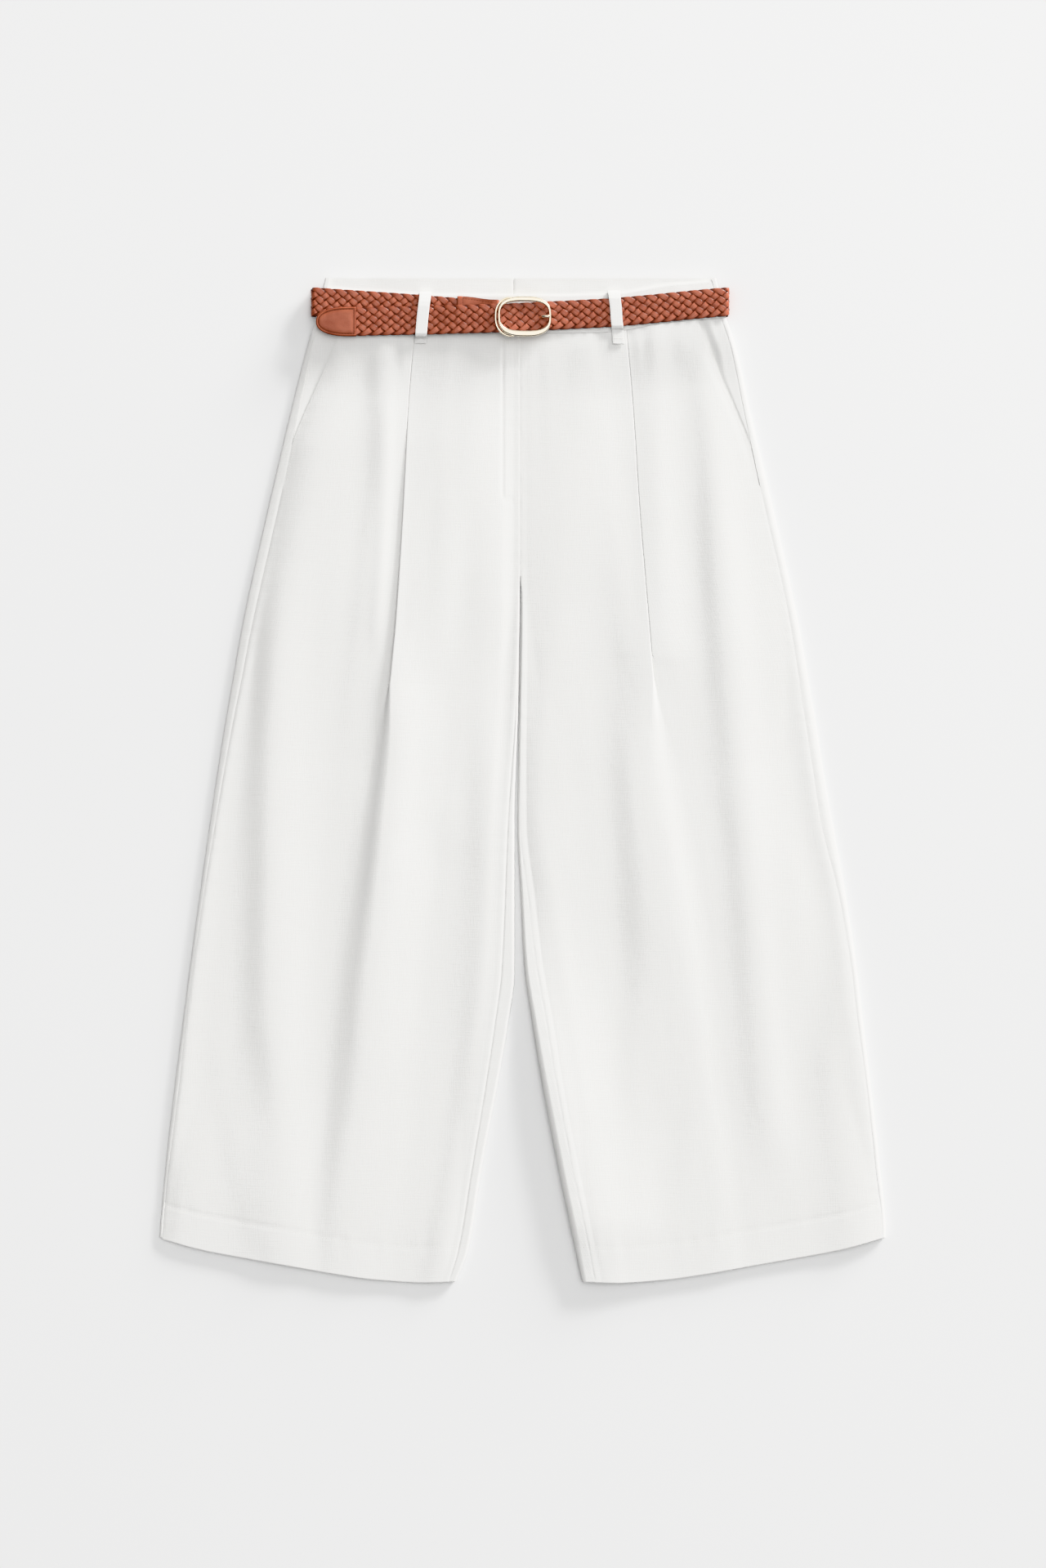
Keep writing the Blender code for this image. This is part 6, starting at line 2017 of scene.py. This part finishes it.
@dataclass
class Buckle:
    """The gold ring over the strap, the wire loop behind it, and the prong."""

    x: float = 3.7             # the ring's middle: x, drop and height, mm
    drop: float = 34.7
    height: float = 15.5
    tilt: float = 5.0          # how far the ring leans down to the wearer's left, degrees
    heel_x: float = -21.0      # the bar that the chape and prong turn round, mm
    heel_height: float = 10.4  # its height, mm
    loop_radius: float = 0.9   # of the loop's wire, mm
    prong_radius: float = 0.8  # of the prong's shank, mm

    def ring(self) -> Surface:
        """The ring: between two rounded rectangles, with a domed section."""
        outer = oval(23.6, 17.7, 192, 2.7)
        inner = oval(21.4, 12.8, 192, 3.0) + [-0.2, 0.5]
        middle, reach = (outer + inner) / 2, (outer - inner) / 2
        angles = np.linspace(0, 2 * np.pi, 28, endpoint=False)
        c, s = np.cos(angles), np.sin(angles)
        power = 2 / 2.1
        wide = np.sign(c) * np.abs(c) ** power
        high = 1.4 * np.sign(s) * np.abs(s) ** power
        flat = middle[:, None] + reach[:, None] * wide[None, :, None]
        lean = math.radians(self.tilt)
        x = flat[..., 0] * math.cos(lean) + high * math.sin(lean)
        z = high * math.cos(lean) - flat[..., 0] * math.sin(lean)
        rings = world(1, self.x + x, self.drop - flat[..., 1], self.height + z)
        return tube(rings, rings[..., :2], closed=True)

    @staticmethod
    def wire(path: Array, radius: Array | float, reference: Array, closed: bool) -> Surface:
        """A round wire along a path.

        Args:
            path: Places as x, drop, height in mm.
            radius: mm, one number or one for each place.
            reference: Vectors that are never along the path, to set the section by.
            closed: Whether the path closes.

        Returns:
            The surface.
        """
        line = world(1, *path.T)
        if closed:
            way = unit(np.roll(line, -1, 0) - np.roll(line, 1, 0))
        else:
            way = unit(np.gradient(line, axis=0))
        side = unit(np.cross(reference, way))
        up = np.cross(way, side)
        section = oval(1.0, 1.0, 14) * (np.reshape(radius, (-1, 1, 1)) * MM)
        return swept(line, side, up, section, closed)

    def loop(self) -> Surface:
        """The wire loop that holds the strap behind the ring."""
        half = [(-21.9, 0.0, 16.9), (-21.5, 5.5, 16.9), (-19.6, 10.3, 16.8), (-16.2, 14.3, 16.3),
                (-11.8, 16.5, 15.0), (-7.5, 16.7, 13.6), (-6.2, 15.9, 12.0), (-9.5, 15.0, 11.2),
                (-14.6, 13.8, 10.8), (-18.6, 12.6, 10.5), (self.heel_x, 10.6, self.heel_height),
                (self.heel_x, 5.0, self.heel_height)]
        other = [(x, -side, height) for x, side, height in half[:0:-1]]
        knots = np.array(half + [(self.heel_x, 0.0, self.heel_height)] + other)
        knots[:, 1] += 35.0
        path = smooth_path(knots, 240, closed=True)
        spread = world(1, *path.T)
        return self.wire(path, self.loop_radius, unit(spread - spread.mean(0)), True)

    def prong(self) -> Surface:
        """The prong: hooked round the bar, under the strap and up through it to the ring."""
        hook = self.loop_radius + GAP + self.prong_radius
        angles = np.radians(np.linspace(128, 270, 14))
        turn = np.stack([self.heel_x + hook * np.cos(angles), np.full(14, 35.8),
                         self.heel_height + hook * np.sin(angles)], -1)
        shank = np.array([(-14.0, 35.6, 8.45), (-2.0, 35.2, 8.55), (12.0, 34.9, 8.65),
                          (15.6, 34.8, 9.4), (17.6, 34.7, 11.4), (19.0, 34.6, 13.8),
                          (21.4, 34.6, 15.6), (26.0, 34.6, 16.2)])
        path = np.concatenate([turn, smooth_path(shank, 60)])
        length = lengths_along(path)
        radius = blend(self.prong_radius, 1.3, ease(path[:, 0], 13, 18))
        radius = radius * np.sqrt(np.clip((length[-1] - length) / 1.4, 0.05, 1.0))
        reference = np.broadcast_to([0.0, 1.0, 0.0], path.shape)
        return self.wire(path, radius, reference, False)

    def build(self, materials: Materials) -> None:
        """Make the three metal parts."""
        for name, node, surface in (("buckle_ring_gold", "buckle_ring", self.ring()),
                                    ("buckle_loop_gold", "buckle_loop", self.loop()),
                                    ("buckle_prong_gold", "buckle_prong", self.prong())):
            add_piece(name, surface, materials.gold, (node,), 70.0)


# ---- studio
@dataclass
class Studio:
    """Camera, lights and floor."""

    eye: Triple = (0.0004, -0.0028, 3.5)          # the camera's place, m
    lens: float = 91.1                            # mm
    sensor: float = 36.0                          # its width, mm
    key_place: Triple = (4.6, 5.16, 1.03)         # middle of the key light, m
    key_size: tuple[float, float] = (3.2, 1.85)   # its width and height, m
    key_power: float = 1120.0                     # W
    horizon: float = 0.30                         # strength of the light from the sides
    zenith: float = 3.45                          # strength of the overhead light
    zenith_power: float = 8.0                     # how closely it gathers
    overhead: Triple = (0.105, 0.115, 0.988)      # towards it
    lean: float = 0.25                            # how much stronger one side is than across
    lean_way: Triple = (0.67, 0.74, 0.0)          # towards that side
    faintest: float = 0.03                        # least strength from any side
    floor_size: float = 4.0                       # half the floor's side, m

    def camera(self) -> None:
        """A camera straight above the garment."""
        data = bpy.data.cameras.new("camera")
        data.lens, data.sensor_width = self.lens, self.sensor
        camera = bpy.data.objects.new("camera", data)
        camera.location = self.eye
        bpy.context.scene.collection.objects.link(camera)
        bpy.context.scene.camera = camera

    def lights(self) -> None:
        """A broad low key from the upper right, and a dome that is brightest overhead."""
        data = bpy.data.lights.new("key", "AREA")
        data.shape, data.energy = "RECTANGLE", self.key_power
        data.size, data.size_y = self.key_size
        key = bpy.data.objects.new("key", data)
        key.location = self.key_place
        key.rotation_euler = (-Vector(self.key_place)).to_track_quat("-Z", "Y").to_euler()
        bpy.context.scene.collection.objects.link(key)
        world_light = bpy.data.worlds.new("dome")
        world_light.use_nodes = True
        n = Nodes(world_light.node_tree)
        background = world_light.node_tree.nodes["Background"]
        way = n.add("ShaderNodeTexCoord").outputs["Generated"]
        up, leaning = (n.add("ShaderNodeVectorMath", {0: way, 1: direction},
                             operation="DOT_PRODUCT").outputs["Value"]
                       for direction in (self.overhead, self.lean_way))
        lifted = n.math("POWER", n.math("MAXIMUM", up, 0.0), self.zenith_power)
        strength = n.scaled(lifted, self.zenith - self.horizon, self.horizon)
        strength = n.math("MULTIPLY_ADD", leaning, self.lean, strength)
        n.feed(background, Strength=n.math("MAXIMUM", strength, self.faintest))
        background.inputs["Color"].default_value = (1.0, 1.0, 1.0, 1.0)
        bpy.context.scene.world = world_light
        bpy.context.scene.view_settings.view_transform = "Khronos PBR Neutral"

    def floor(self, materials: Materials) -> None:
        """A plain pale floor under the garment."""
        side = np.linspace(-self.floor_size, self.floor_size, 9)
        x, y = np.meshgrid(side, side, indexing="ij")
        points = np.stack([x, y, np.zeros_like(x)], axis=-1)
        surface = Surface(points.reshape(-1, 3), grid_cells(9, 9).reshape(-1, 4))
        floor = bpy.data.objects.new("floor", surface.to_mesh("floor"))
        floor.data.materials.append(materials.floor)
        bpy.context.scene.collection.objects.link(floor)


def main() -> None:
    """Build the garment, its belt and the studio in order."""
    logging.basicConfig(level=logging.INFO, format="%(name)s %(message)s")
    studio = Studio()
    studio.camera()
    materials = Materials()
    legs = {form.name: LegPanels(form) for form in (RIGHT, LEFT)}
    for panels in legs.values():
        panels.build(materials)
        Pocket(panels.form, panels).build(materials)
        Waistband(panels.form).build(materials)
    Fly(legs["right"]).build(materials)
    for loop in LOOPS:
        loop.build(materials)
    BraidedStrap().build(materials)
    BeltLeather().build(materials)
    Buckle().build(materials)
    studio.lights()
    studio.floor(materials)


if __name__ == "__main__":
    main()
